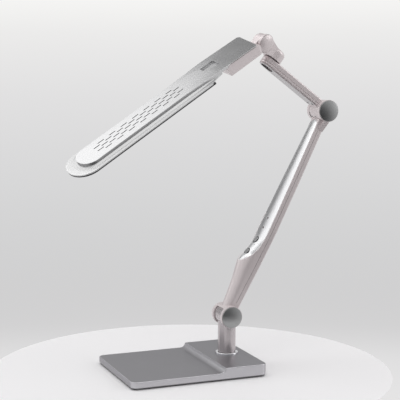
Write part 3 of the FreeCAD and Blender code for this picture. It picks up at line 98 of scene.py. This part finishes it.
def make_moulded_skin():
    """Skin of moulded plastic or painted metal: faint clouds, fine flecks and paler edges."""
    group, start, end = new_group(
        "moulded_skin",
        [("Color", "NodeSocketColor", (0.8, 0.8, 0.8, 1)), ("Cloud", "NodeSocketFloat", 0.03),
         ("Scale", "NodeSocketFloat", 900), ("Roughness", "NodeSocketFloat", 0.4),
         ("Fleck", "NodeSocketFloat", 0.03), ("Edge", "NodeSocketFloat", 0.1)],
        [("Color", "NodeSocketColor"), ("Roughness", "NodeSocketFloat"),
         ("Height", "NodeSocketFloat")])
    link = group.links.new
    given = start.outputs
    place = group.nodes.new("ShaderNodeTexCoord")
    clouds = group.nodes.new("ShaderNodeTexNoise")
    clouds.inputs["Scale"].default_value = cloud_scale
    clouds.inputs["Detail"].default_value = 3
    link(place.outputs["Object"], clouds.inputs["Vector"])
    grains = group.nodes.new("ShaderNodeTexNoise")
    grains.inputs["Detail"].default_value = 2
    link(place.outputs["Object"], grains.inputs["Vector"])
    link(given["Scale"], grains.inputs["Scale"])
    cloud_swing = math_node(group, "SUBTRACT", clouds.outputs["Fac"], noise_middle)
    cloud = math_node(group, "MULTIPLY", cloud_swing, given["Cloud"])
    grain_swing = math_node(group, "SUBTRACT", grains.outputs["Fac"], noise_middle)
    cloud_and_fleck = math_node(group, "MULTIPLY_ADD", grain_swing, given["Fleck"], cloud)
    shape = group.nodes.new("ShaderNodeNewGeometry")
    edge_mask = group.nodes.new("ShaderNodeMapRange")
    edge_mask.inputs["From Min"].default_value = edge_begins
    edge_mask.inputs["From Max"].default_value = edge_full
    link(shape.outputs["Pointiness"], edge_mask.inputs["Value"])
    paler_edge = math_node(group, "MULTIPLY", edge_mask.outputs["Result"], given["Edge"])
    change = math_node(group, "ADD", cloud_and_fleck, paler_edge)
    factor = math_node(group, "ADD", change, 1)
    tint = group.nodes.new("ShaderNodeVectorMath")
    tint.operation = "SCALE"
    link(given["Color"], tint.inputs[0])
    link(factor, tint.inputs["Scale"])
    link(tint.outputs[0], end.inputs["Color"])
    link(math_node(group, "ADD", cloud, given["Roughness"]), end.inputs["Roughness"])
    link(grains.outputs["Fac"], end.inputs["Height"])
    return group


moulded_skin = make_moulded_skin()
coarse_grain = 900
paint_grain = 2600
grain_depth = 0.2 * MM
coat_roughness = 0.1


def finish_of(name, color, roughness, metallic=0.0, cloud=0.04, scale=coarse_grain, bump=0.02,
              coat=0.0, edge_tint=1.0, fleck=0.03, edge=0.1):
    """A material whose skin comes from the moulded_skin group."""
    material = bpy.data.materials.new(name)
    material.use_nodes = True
    tree = material.node_tree
    shader = tree.nodes["Principled BSDF"]
    skin = tree.nodes.new("ShaderNodeGroup")
    skin.node_tree = moulded_skin
    skin.inputs["Color"].default_value = (*color, 1)
    skin.inputs["Cloud"].default_value = cloud
    skin.inputs["Scale"].default_value = scale
    skin.inputs["Roughness"].default_value = roughness
    skin.inputs["Fleck"].default_value = fleck
    skin.inputs["Edge"].default_value = edge
    relief = tree.nodes.new("ShaderNodeBump")
    relief.inputs["Strength"].default_value = bump
    relief.inputs["Distance"].default_value = grain_depth
    link = tree.links.new
    link(skin.outputs["Color"], shader.inputs["Base Color"])
    link(skin.outputs["Roughness"], shader.inputs["Roughness"])
    link(skin.outputs["Height"], relief.inputs["Height"])
    link(relief.outputs["Normal"], shader.inputs["Normal"])
    shader.inputs["Metallic"].default_value = metallic
    shader.inputs["Coat Weight"].default_value = coat
    shader.inputs["Coat Roughness"].default_value = coat_roughness
    shader.inputs["Specular Tint"].default_value = (edge_tint, edge_tint, edge_tint, 1)
    return material


base_paint = finish_of("base_silver_paint", (0.56, 0.553, 0.575), 0.36, metallic=1.0, cloud=0.05,
                       scale=paint_grain, bump=0.004, edge_tint=0.47, fleck=0.1, edge=0.2)
pearl = finish_of("pearl_plastic", (0.695, 0.63, 0.635), 0.34, metallic=0.28, bump=0.003,
                  coat=0.2, scale=paint_grain, fleck=0.06, edge=0.06)
post_pearl = finish_of("post_pearl", (0.54, 0.50, 0.51), 0.24, metallic=0.9, scale=paint_grain,
                       bump=0.0, fleck=0.06)
# Paler copy of the pearl paint for the shell's lip: painted highlight
pearl_lip_highlight = finish_of("pearl_lip_highlight", (0.86, 0.83, 0.83), 0.25, bump=0.0, coat=0.4)
satin = finish_of("satin_aluminium", (0.58, 0.58, 0.585), 0.25, metallic=1.0,
                  scale=paint_grain, bump=0.0, fleck=0.1)
tray_silver = finish_of("tray_silver", (0.56, 0.56, 0.562), 0.42, metallic=1.0,
                        scale=paint_grain, bump=0.0, fleck=0.1)
bright_panel = finish_of("panel_aluminium", (0.69, 0.69, 0.70), 0.3, metallic=0.95,
                         scale=paint_grain, bump=0.0, fleck=0.08)
plate_silver = finish_of("plate_silver", (0.56, 0.545, 0.55), 0.38, metallic=0.8,
                         scale=paint_grain, bump=0.0, fleck=0.08)
disc_silver = finish_of("disc_silver", (0.40, 0.405, 0.405), 0.3, metallic=1.0,
                        scale=paint_grain, bump=0.0, fleck=0.1)
polished = finish_of("polished_chrome", (0.75, 0.75, 0.77), 0.1, metallic=1.0, bump=0.0)
button_metal = finish_of("button_metal", (0.42, 0.42, 0.425), 0.3, metallic=1.0, bump=0.0)
# Black plastic; also the painted shade in the hub's stop slot and on the wall of the oval recess
black_plastic_and_shade = finish_of("black_plastic_and_shade", (0.03, 0.03, 0.033), 0.5)
seam_dark = finish_of("seam_shadow", (0.16, 0.135, 0.135), 0.6)
# Rubber of the anti-slip mat; also the painted shade in the rings round the buttons
rubber_and_gap_shade = finish_of("rubber_mat", (0.03, 0.03, 0.03), 0.8, bump=0.1)
dark_anodised = finish_of("dark_anodised", (0.05, 0.05, 0.052), 0.4, metallic=0.6, bump=0.0)
floor_plate_grey = finish_of("floor_plate_grey", (0.16, 0.16, 0.165), 0.5)
zinc = finish_of("zinc_steel", (0.55, 0.55, 0.57), 0.3, metallic=1.0)
frosted = finish_of("frosted_guide", (0.88, 0.88, 0.86), 0.45)
natural_nylon = finish_of("nylon", (0.7, 0.69, 0.65), 0.5)
board_white = finish_of("board_white", (0.8, 0.8, 0.78), 0.5)

slot_finish = {
    "base_silver": base_paint, "black_plastic": black_plastic_and_shade, "rubber": rubber_and_gap_shade,
    "steel": zinc, "pearl": pearl, "panel_silver": bright_panel, "chrome": polished,
    "head_aluminium": satin, "diffuser": frosted, "board": board_white, "lens": polished,
    "nylon": natural_nylon}
node_finish = {
    "elbow_near_cap": disc_silver, "elbow_far_cap": disc_silver,
    "lower_knuckle_near_cap": disc_silver, "lower_knuckle_far_cap": disc_silver,
    "head_tilt_cap": pearl, "upper_arm_plate": plate_silver,
    "upper_arm_screws": black_plastic_and_shade, "base_plate": floor_plate_grey,
    "power_button": button_metal, "mode_button": button_metal,
    "head_swivel_bolt": polished, "heat_spreader": dark_anodised,
    "swivel_post": post_pearl, "head_tray": tray_silver}


def paint(piece, material):
    """Give a piece one material in every slot that it has."""
    if not piece.material_slots:
        piece.data.materials.append(material)
    for held in piece.material_slots:
        held.material = material


for entry in frame["record"]["subparts"]:
    name = entry["node"]
    paint(nodes[name], node_finish.get(name, slot_finish[entry["material_slot"]]))


# Edges of the CAD nodes
def make_smoother(name, crease):
    """Smooth faces; with a crease angle in degrees, edges sharper than it stay sharp."""
    group = bpy.data.node_groups.new(name, "GeometryNodeTree")
    group.interface.new_socket("Geometry", in_out="INPUT", socket_type="NodeSocketGeometry")
    group.interface.new_socket("Geometry", in_out="OUTPUT", socket_type="NodeSocketGeometry")
    start = group.nodes.new("NodeGroupInput")
    end = group.nodes.new("NodeGroupOutput")
    shade = group.nodes.new("GeometryNodeSetShadeSmooth")
    group.links.new(start.outputs[0], shade.inputs[0])
    last = shade
    if crease:
        bend = group.nodes.new("GeometryNodeInputMeshEdgeAngle")
        test = group.nodes.new("FunctionNodeCompare")
        test.operation = "GREATER_THAN"
        test.inputs["B"].default_value = math.radians(crease)
        group.links.new(bend.outputs["Unsigned Angle"], test.inputs["A"])
        last = group.nodes.new("GeometryNodeSetShadeSmooth")
        last.domain = "EDGE"
        last.inputs["Shade Smooth"].default_value = False
        group.links.new(shade.outputs[0], last.inputs[0])
        group.links.new(test.outputs["Result"], last.inputs["Selection"])
    group.links.new(last.outputs[0], end.inputs[0])
    return group


smooth_faces = make_smoother("smooth_faces", crease=0)
smooth_with_creases = make_smoother("smooth_with_creases", crease=28)
weld_distance = 0.002 * MM
flat_angle = math.radians(0.2)
sharp_angle = math.radians(32)
bevel_steps = 3
large_face_weight = 60


def weld_and_smooth(piece, smoother, join_flat):
    """Join a node's loose triangles and shade them; join_flat merges those in one plane."""
    weld = piece.modifiers.new("weld", "WELD")
    weld.merge_threshold = weld_distance
    if join_flat:
        flat = piece.modifiers.new("join flat faces", "DECIMATE")
        flat.decimate_type = "DISSOLVE"
        flat.angle_limit = flat_angle
    smooth = piece.modifiers.new("smooth", "NODES")
    smooth.node_group = smoother


def round_edges(piece, width):
    """Round the sharp edges of a CAD node by a fraction of a millimetre."""
    weld_and_smooth(piece, smooth_faces, join_flat=True)
    bevel = piece.modifiers.new("rounded edge", "BEVEL")
    bevel.width = width * MM
    bevel.segments = bevel_steps
    bevel.limit_method = "ANGLE"
    bevel.angle_limit = sharp_angle
    bevel.use_clamp_overlap = False
    bevel.miter_outer = "MITER_ARC"
    even = piece.modifiers.new("even shading", "WEIGHTED_NORMAL")
    even.weight = large_face_weight


edge_width = {
    "base_cover": 0.5, "base_plate": 0.3, "anti_slip_mat": 0.4, "swivel_post": 0.5,
    "post_ring": 0.2, "lower_arm_rear_cover": 0.3, "power_button": 0.2, "mode_button": 0.2,
    "upper_arm_shell": 0.4, "upper_arm_plate": 0.3, "head_bracket": 0.5, "head_top_cover": 0.25,
    "elbow_near_cap": 0.3, "elbow_far_cap": 0.3, "lower_knuckle_near_cap": 0.3,
    "lower_knuckle_far_cap": 0.3, "head_tilt_cap": 0.3}
for name, width in edge_width.items():
    round_edges(nodes[name], width)
# The sections of the panel's loft blend into one another
weld_and_smooth(nodes["control_panel"], smooth_with_creases, join_flat=False)


# Places of the moving groups at rest, from the frame's joints
joints = {joint["name"]: joint for joint in frame["joints"]}


def joint_place(name):
    return Vector(joints[name]["pos_m"])


def joint_axis(name):
    return Vector(joints[name]["axis"]).normalized()


def group_frame(origin, x_axis, y_axis, z_axis):
    """Matrix from millimetres in a group's own frame to metres in the scene."""
    turn = Matrix((x_axis, y_axis, z_axis)).transposed().to_4x4()
    return Matrix.Translation(origin) @ turn @ Matrix.Scale(MM, 4)


sideways = Vector((0, 1, 0))
lower_along = (joint_place("elbow") - joint_place("lower_tilt")).normalized()
lower_front = sideways.cross(lower_along)
lower_frame = group_frame(joint_place("lower_tilt"), lower_front, sideways, lower_along)
upper_normal = joint_axis("head_swivel")
upper_frame = group_frame(joint_place("elbow"), sideways.cross(upper_normal), sideways,
                          upper_normal)
tilt_side = -joint_axis("head_tilt")
housing_forward = tilt_side.cross(upper_normal).normalized()
tilt_frame = group_frame(joint_place("head_tilt"), housing_forward, tilt_side, upper_normal)
rest_tilt = math.radians(66)
head_forward = Matrix.Rotation(rest_tilt, 3, tilt_side) @ housing_forward
head_frame = group_frame(joint_place("head_tilt"), head_forward, tilt_side,
                         head_forward.cross(tilt_side))
z_to_x = Matrix.Rotation(math.radians(90), 4, "Y")
z_to_y = Matrix.Rotation(math.radians(-90), 4, "X")


# Shapes of the small pieces, in millimetres
same_spot = 0.0005
strip_steps = 10


def turned_ring(inner, outer, low, high, steps=48):
    """A ring of rectangular section about the Z axis."""
    mesh = bmesh.new()
    corners = [mesh.verts.new(spot) for spot in
               ((inner, 0, low), (outer, 0, low), (outer, 0, high), (inner, 0, high))]
    edges = [mesh.edges.new((corners[i], corners[(i + 1) % 4])) for i in range(4)]
    bmesh.ops.spin(mesh, geom=corners + edges, cent=(0, 0, 0), axis=(0, 0, 1),
                   angle=math.tau, steps=steps, use_merge=True)
    bmesh.ops.remove_doubles(mesh, verts=mesh.verts, dist=same_spot)
    return mesh


def arc_strip(radius, thickness, side_low, side_high, angle_low, angle_high):
    """A thin strip that lies on a cylinder about the Y axis, between two angles in degrees."""
    mesh = bmesh.new()
    corners = [mesh.verts.new(spot) for spot in
               ((radius, side_low, 0), (radius + thickness, side_low, 0),
                (radius + thickness, side_high, 0), (radius, side_high, 0))]
    face = mesh.faces.new(corners)
    bmesh.ops.rotate(mesh, verts=corners, cent=(0, 0, 0),
                     matrix=Matrix.Rotation(math.radians(-angle_low), 3, "Y"))
    bmesh.ops.spin(mesh, geom=[face] + corners + list(face.edges), cent=(0, 0, 0),
                   axis=(0, -1, 0), angle=math.radians(angle_high - angle_low),
                   steps=strip_steps)
    return mesh


def outline_band(corners, rounds, width, height, segments=6):
    """A flat band inside an outline with rounded corners, raised from its XY plane."""
    mesh = bmesh.new()
    spots = [mesh.verts.new((x, y, 0)) for x, y in corners]
    mesh.faces.new(spots)
    for spot, radius in zip(spots, rounds):
        if radius:
            bmesh.ops.bevel(mesh, geom=[spot], offset=radius, offset_type="OFFSET",
                            segments=segments, profile=0.5, affect="VERTICES", material=-1)
    face = mesh.faces[:][0]
    bmesh.ops.inset_region(mesh, faces=[face], thickness=width, use_even_offset=True,
                           use_boundary=True)
    bmesh.ops.delete(mesh, geom=[face], context="FACES_ONLY")
    grown = bmesh.ops.extrude_face_region(mesh, geom=mesh.faces[:])
    raised = [item for item in grown["geom"] if isinstance(item, bmesh.types.BMVert)]
    bmesh.ops.translate(mesh, verts=raised, vec=(0, 0, height))
    return mesh


def add_piece(name, mesh, place, body, material):
    """Turn a bmesh in a group's frame into a finished piece of the lamp."""
    bmesh.ops.transform(mesh, matrix=place, verts=mesh.verts)
    bmesh.ops.recalc_face_normals(mesh, faces=mesh.faces)
    data = bpy.data.meshes.new(name)
    mesh.to_mesh(data)
    mesh.free()
    piece = bpy.data.objects.new(name, data)
    scene.collection.objects.link(piece)
    paint(piece, material)
    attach(piece, body)


def add_line(name, kind, spots, radius, resolution, material):
    """A round line through points of the scene, carried by the lower arm."""
    line = bpy.data.curves.new(name, "CURVE")
    line.dimensions = "3D"
    line.bevel_depth = radius * MM
    line.bevel_resolution = resolution
    line.use_fill_caps = True
    path = line.splines.new(kind)
    path.points.add(len(spots) - 1)
    for held, spot in zip(path.points, spots):
        held.co = (*spot, 1)
    path.order_u = 3
    path.use_endpoint_u = True
    line.materials.append(material)
    piece = bpy.data.objects.new(name, line)
    scene.collection.objects.link(piece)
    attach(piece, "lower_arm")


button_end = 0.6


def face_centre(node, axis):
    """Middle of a button's outer end along an axis square to the Y axis."""
    spots = [vertex.co for vertex in nodes[node].data.vertices]
    top = max(spot.dot(axis) for spot in spots)
    end = [spot for spot in spots if spot.dot(axis) > top - button_end * MM]
    middle = axis * top
    for direction in (sideways, sideways.cross(axis)):
        reach = [spot.dot(direction) for spot in end]
        middle += direction * (min(reach) + max(reach)) / 2
    return middle


def skin_point(node, start, heading):
    """Where a straight line meets a node's surface, and the surface's normal there."""
    held = nodes[node].data
    tree = BVHTree.FromPolygons([vertex.co for vertex in held.vertices],
                                [face.vertices for face in held.polygons])
    spot, normal, _, _ = tree.ray_cast(start, heading)
    return spot, normal


# Dark rings round the buttons, painted shade of the gap between each button and the panel, level with the
# panel on the mean of four points
shade_ring_inner = 4.75
shade_ring_outer = 5.7
for button, press in (("power_button", "power_press"), ("mode_button", "mode_press")):
    outward = -joint_axis(press)
    across = sideways.cross(outward)
    centre = face_centre(button, outward)
    level = 0
    for direction in (across, -across, sideways, -sideways):
        spot, _ = skin_point("control_panel", centre + direction * shade_ring_outer * MM, -outward)
        level += (spot - centre).dot(outward) / 4
    seat = centre + outward * level
    add_piece(button + "_gasket", turned_ring(shade_ring_inner, shade_ring_outer, low=-0.8, high=0.4),
              group_frame(seat, -across, sideways, outward), "lower_arm", rubber_and_gap_shade)

# Dark bezels round the lenses, by station along the arm and level of the panel there
lens_spots = ((137.5, 6.72), (152.8, 6.48))
for number, (station, level) in enumerate(lens_spots, 1):
    bezel = turned_ring(inner=0.95, outer=1.75, low=-0.4, high=0.06, steps=24)
    add_piece("lens_bezel_" + str(number), bezel,
              lower_frame @ Matrix.Translation((level, 0, station)) @ z_to_x,
              "lower_arm", seam_dark)

# The dark dot between the buttons
beyond_arm = 40
dot_station = 109.4
dot_side = 5.2
dot_start = lower_frame @ Vector((beyond_arm, dot_side, dot_station))
dot_spot, dot_normal = skin_point("control_panel", dot_start, -lower_front)
dot_across = sideways.cross(dot_normal).normalized()
dot = turned_ring(inner=0.05, outer=0.8, low=-0.4, high=0.05, steps=24)
add_piece("panel_dot", dot,
          group_frame(dot_spot, dot_across, dot_normal.cross(dot_across), dot_normal),
          "lower_arm", black_plastic_and_shade)

# The dark seam between the arm's shell and its rear cover, one line on each side
seam_level = -0.68
shell_above_seam = 0.3
seam_radius = 0.3
seam_sink = 0.14
seam_first = 22
seam_last = 298
seam_step = 12
for name, side in (("near_seam", 1), ("far_seam", -1)):
    inward = -sideways * side
    seam = []
    for station in range(seam_first, seam_last + 1, seam_step):
        start = Vector((seam_level + shell_above_seam, side * beyond_arm, station))
        spot, _ = skin_point("lower_arm_shell", lower_frame @ start, inward)
        seam.append(spot + inward * seam_sink * MM - lower_front * shell_above_seam * MM)
    add_line(name, "POLY", seam, seam_radius, resolution=2, material=seam_dark)

# The lip of the arm's shell round the lower end of the panel, paler than the shell as painted highlight:
# station, half width, front
lip_stations = ((79.3, 0.0, 20.4), (79.8, 2.3, 20.2), (81.5, 5.4, 19.1), (84, 8.3, 17.5),
                (88, 11.4, 14.9), (95, 14.8, 10.4), (102, 16.1, 8.5), (110, 17.0, 6.4),
                (125, 17.9, 5.3), (142, 17.95, 5.2), (160, 17.6, 5.2))
lip_radius = 0.75
lip_sink = 0.45
near_lip = [(front - lip_sink, half, station) for station, half, front in reversed(lip_stations)]
far_lip = [(x, -y, z) for x, y, z in reversed(near_lip[:-1])]
lip_spots = [lower_frame @ Vector(spot) for spot in near_lip + far_lip]
add_line("panel_lip", "NURBS", lip_spots, lip_radius, resolution=3, material=pearl_lip_highlight)

# Dark strips on the elbow's hub, painted shade standing in for the stop slot and detent: two sides and two
# angles of each
slot_shade_radius = 15.42
slot_shade_thickness = 0.36
hub_slot_shades = (("elbow_stop_side", -12.1, -10.4, -73, -48), ("elbow_stop_foot", -10.4, -5, -73, -68),
             ("elbow_detent", 0.6, 3.2, -74, -67))
for name, side_low, side_high, angle_low, angle_high in hub_slot_shades:
    add_piece(name, arc_strip(slot_shade_radius, slot_shade_thickness, side_low, side_high, angle_low,
                              angle_high),
              upper_frame, "upper_arm", black_plastic_and_shade)

# Dark band on the wall of the oval recess under the arm's end, painted shade of the recess, rounded just
# short of half circles
recess_start = 100.2
recess_end = 120.2
recess_half = 5.4
recess_level = -4.12
recess_round = recess_half * 0.998
recess = [(recess_start, -recess_half), (recess_end, -recess_half),
          (recess_end, recess_half), (recess_start, recess_half)]
recess_shade = outline_band(recess, [recess_round] * 4, width=0.45, height=1.0, segments=12)
add_piece("recess_shade_band", recess_shade, upper_frame @ Matrix.Translation((0, 0, recess_level)),
          "upper_arm", black_plastic_and_shade)

# Shadow ring round the tilt cap
tilt_cap_seat = 8.6
add_piece("tilt_cap_ring", turned_ring(inner=12.8, outer=13.15, low=-0.3, high=0.1),
          tilt_frame @ Matrix.Translation((0, tilt_cap_seat, 0)) @ z_to_y, "head_swivel",
          seam_dark)

# Dark band under the rim of the neck plate, painted shadow of the gap between plate and bracket, whose level
# falls towards the joint
neck_start = 22.74
neck_end = 78
neck_half = 21.26
neck_widening = 0.2
neck_slant = 2.8
neck_round = 4.5
plate_crest = 99.3
neck_shadow_crest = 18.45
plate_fall = 2.2 / 76.5
neck_shadow = outline_band([(neck_start, -neck_half), (neck_end, -neck_half - neck_widening),
                       (neck_end, neck_half + neck_widening),
                       (neck_start + neck_slant, neck_half)],
                      [neck_round, 0, 0, neck_round], width=0.5, height=0.8)
for spot in neck_shadow.verts:
    spot.co.z += neck_shadow_crest - (plate_crest - spot.co.x) * plate_fall
add_piece("neck_gasket", neck_shadow, head_frame, "head", seam_dark)

# Turntable under the lamp, in metres
floor_radius = 0.287
floor_middle = (-0.010, 0.008, 0)
floor_mesh = bmesh.new()
bmesh.ops.create_circle(floor_mesh, cap_ends=True, segments=160, radius=floor_radius)
bmesh.ops.translate(floor_mesh, verts=floor_mesh.verts, vec=floor_middle)
floor_data = bpy.data.meshes.new("turntable")
floor_mesh.to_mesh(floor_data)
floor_mesh.free()
floor = bpy.data.objects.new("turntable", floor_data)
scene.collection.objects.link(floor)
floor_paint = bpy.data.materials.new("floor_paint")
floor_paint.use_nodes = True
floor_shader = floor_paint.node_tree.nodes["Principled BSDF"]
floor_shader.inputs["Base Color"].default_value = (0.93, 0.92, 0.93, 1)
floor_shader.inputs["Roughness"].default_value = 0.6
floor_shader.inputs["Specular IOR Level"].default_value = 0.2
floor_data.materials.append(floor_paint)

# Backdrop that the camera sees, and the studio that lights the lamp
world = bpy.data.worlds.new("studio")
scene.world = world
world.use_nodes = True
sky = world.node_tree
backdrop = sky.nodes["Background"]
backdrop.inputs["Strength"].default_value = 1.0
directions = sky.nodes.new("ShaderNodeTexCoord").outputs["Generated"]


def sky_range(value, low, high, smooth=False):
    """A value spread over 0 to 1 between two limits."""
    node = sky.nodes.new("ShaderNodeMapRange")
    if smooth:
        node.interpolation_type = "SMOOTHSTEP"
    node.inputs["From Min"].default_value = low
    node.inputs["From Max"].default_value = high
    sky.links.new(value, node.inputs["Value"])
    return node.outputs["Result"]


def sky_ramp(level, stops):
    """Tones of the sweep by level."""
    ramp = sky.nodes.new("ShaderNodeValToRGB")
    ramp.color_ramp.interpolation = "B_SPLINE"
    first, last = stops[0], stops[-1]
    ramp.color_ramp.elements[0].position = first[0]
    ramp.color_ramp.elements[0].color = (*first[1], 1)
    ramp.color_ramp.elements[1].position = last[0]
    ramp.color_ramp.elements[1].color = (*last[1], 1)
    for position, color in stops[1:-1]:
        ramp.color_ramp.elements.new(position).color = (*color, 1)
    sky.links.new(level, ramp.inputs["Fac"])
    return ramp.outputs["Color"]


def sky_mix(factor, first, second):
    """Two colours by a factor; the second may be a plain colour."""
    mix = sky.nodes.new("ShaderNodeMix")
    mix.data_type = "RGBA"
    sky.links.new(factor, mix.inputs["Factor"])
    sky.links.new(first, mix.inputs["A"])
    if isinstance(second, bpy.types.NodeSocket):
        sky.links.new(second, mix.inputs["B"])
    else:
        mix.inputs["B"].default_value = (*second, 1)
    return mix.outputs["Result"]


def nearness(direction, low, high):
    """0 to 1 as a view direction comes near a given one."""
    dot_product = sky.nodes.new("ShaderNodeVectorMath")
    dot_product.operation = "DOT_PRODUCT"
    dot_product.inputs[1].default_value = direction
    sky.links.new(directions, dot_product.inputs[0])
    return sky_range(dot_product.outputs["Value"], low, high, smooth=True)


axes = sky.nodes.new("ShaderNodeSeparateXYZ")
sky.links.new(directions, axes.inputs[0])
seen = sky_ramp(sky_range(axes.outputs["Z"], -0.3, 0.1), [
    (0.0, (0.80, 0.795, 0.795)), (0.12, (0.76, 0.755, 0.76)), (0.19, (0.62, 0.615, 0.62)),
    (0.34, (0.64, 0.64, 0.645)), (0.47, (0.67, 0.67, 0.675)), (0.66, (0.75, 0.745, 0.75)),
    (0.8, (0.83, 0.825, 0.82)), (0.9, (0.96, 0.955, 0.94)), (1.0, (1.0, 1.0, 0.99))])
lit = sky_ramp(sky_range(axes.outputs["Z"], -1, 1), [
    (0.0, (0.80, 0.795, 0.80)), (0.46, (0.78, 0.775, 0.78)), (0.5, (0.68, 0.68, 0.685)),
    (0.62, (0.78, 0.78, 0.785)), (0.8, (0.40, 0.40, 0.40)), (0.95, (0.22, 0.22, 0.22)),
    (1.0, (0.30, 0.30, 0.30))])
# The dark room in front of the lamp and a dark flag behind it, as its metal mirrors them
room = sky_mix(nearness((0.0, 0.94, -0.34), 0.68, 0.94), lit, (0.05, 0.05, 0.052))
flagged = sky_mix(nearness((0.25, -0.953, 0.17), 0.955, 0.997), room, (0.10, 0.10, 0.10))
light_path = sky.nodes.new("ShaderNodeLightPath")
sky.links.new(sky_mix(light_path.outputs["Is Camera Ray"], flagged, seen),
              backdrop.inputs["Color"])


def softbox(name, place, target, size, power):
    """A rectangular soft light that faces its target."""
    data = bpy.data.lights.new(name, "AREA")
    data.shape = "RECTANGLE"
    data.size = size[0]
    data.size_y = size[1]
    data.energy = power
    lamp = bpy.data.objects.new(name, data)
    lamp.location = place
    aim = Vector(target) - Vector(place)
    lamp.rotation_euler = aim.to_track_quat("-Z", "Y").to_euler()
    scene.collection.objects.link(lamp)


# Place, target, size and power of each light, in metres and watts
lamp_middle = (0, 0, 0.25)
softbox("back_box", (0.60, -0.55, 1.3), (0.25, 0, 0.3), (0.95, 0.8), 2.9)
softbox("top_box", (0.15, 0.45, 2.0), (0.1, 0.15, 0.2), (2.5, 2.1), 20)
softbox("left_box", (1.6, 0.1, 0.7), lamp_middle, (0.9, 1.0), 0.8)
softbox("right_box", (-1.5, 0.55, 0.9), lamp_middle, (0.9, 1.0), 6)
softbox("rim_box", (0.85, -1.1, 0.8), (-0.1, 0, 0.25), (0.8, 0.8), 1.9)
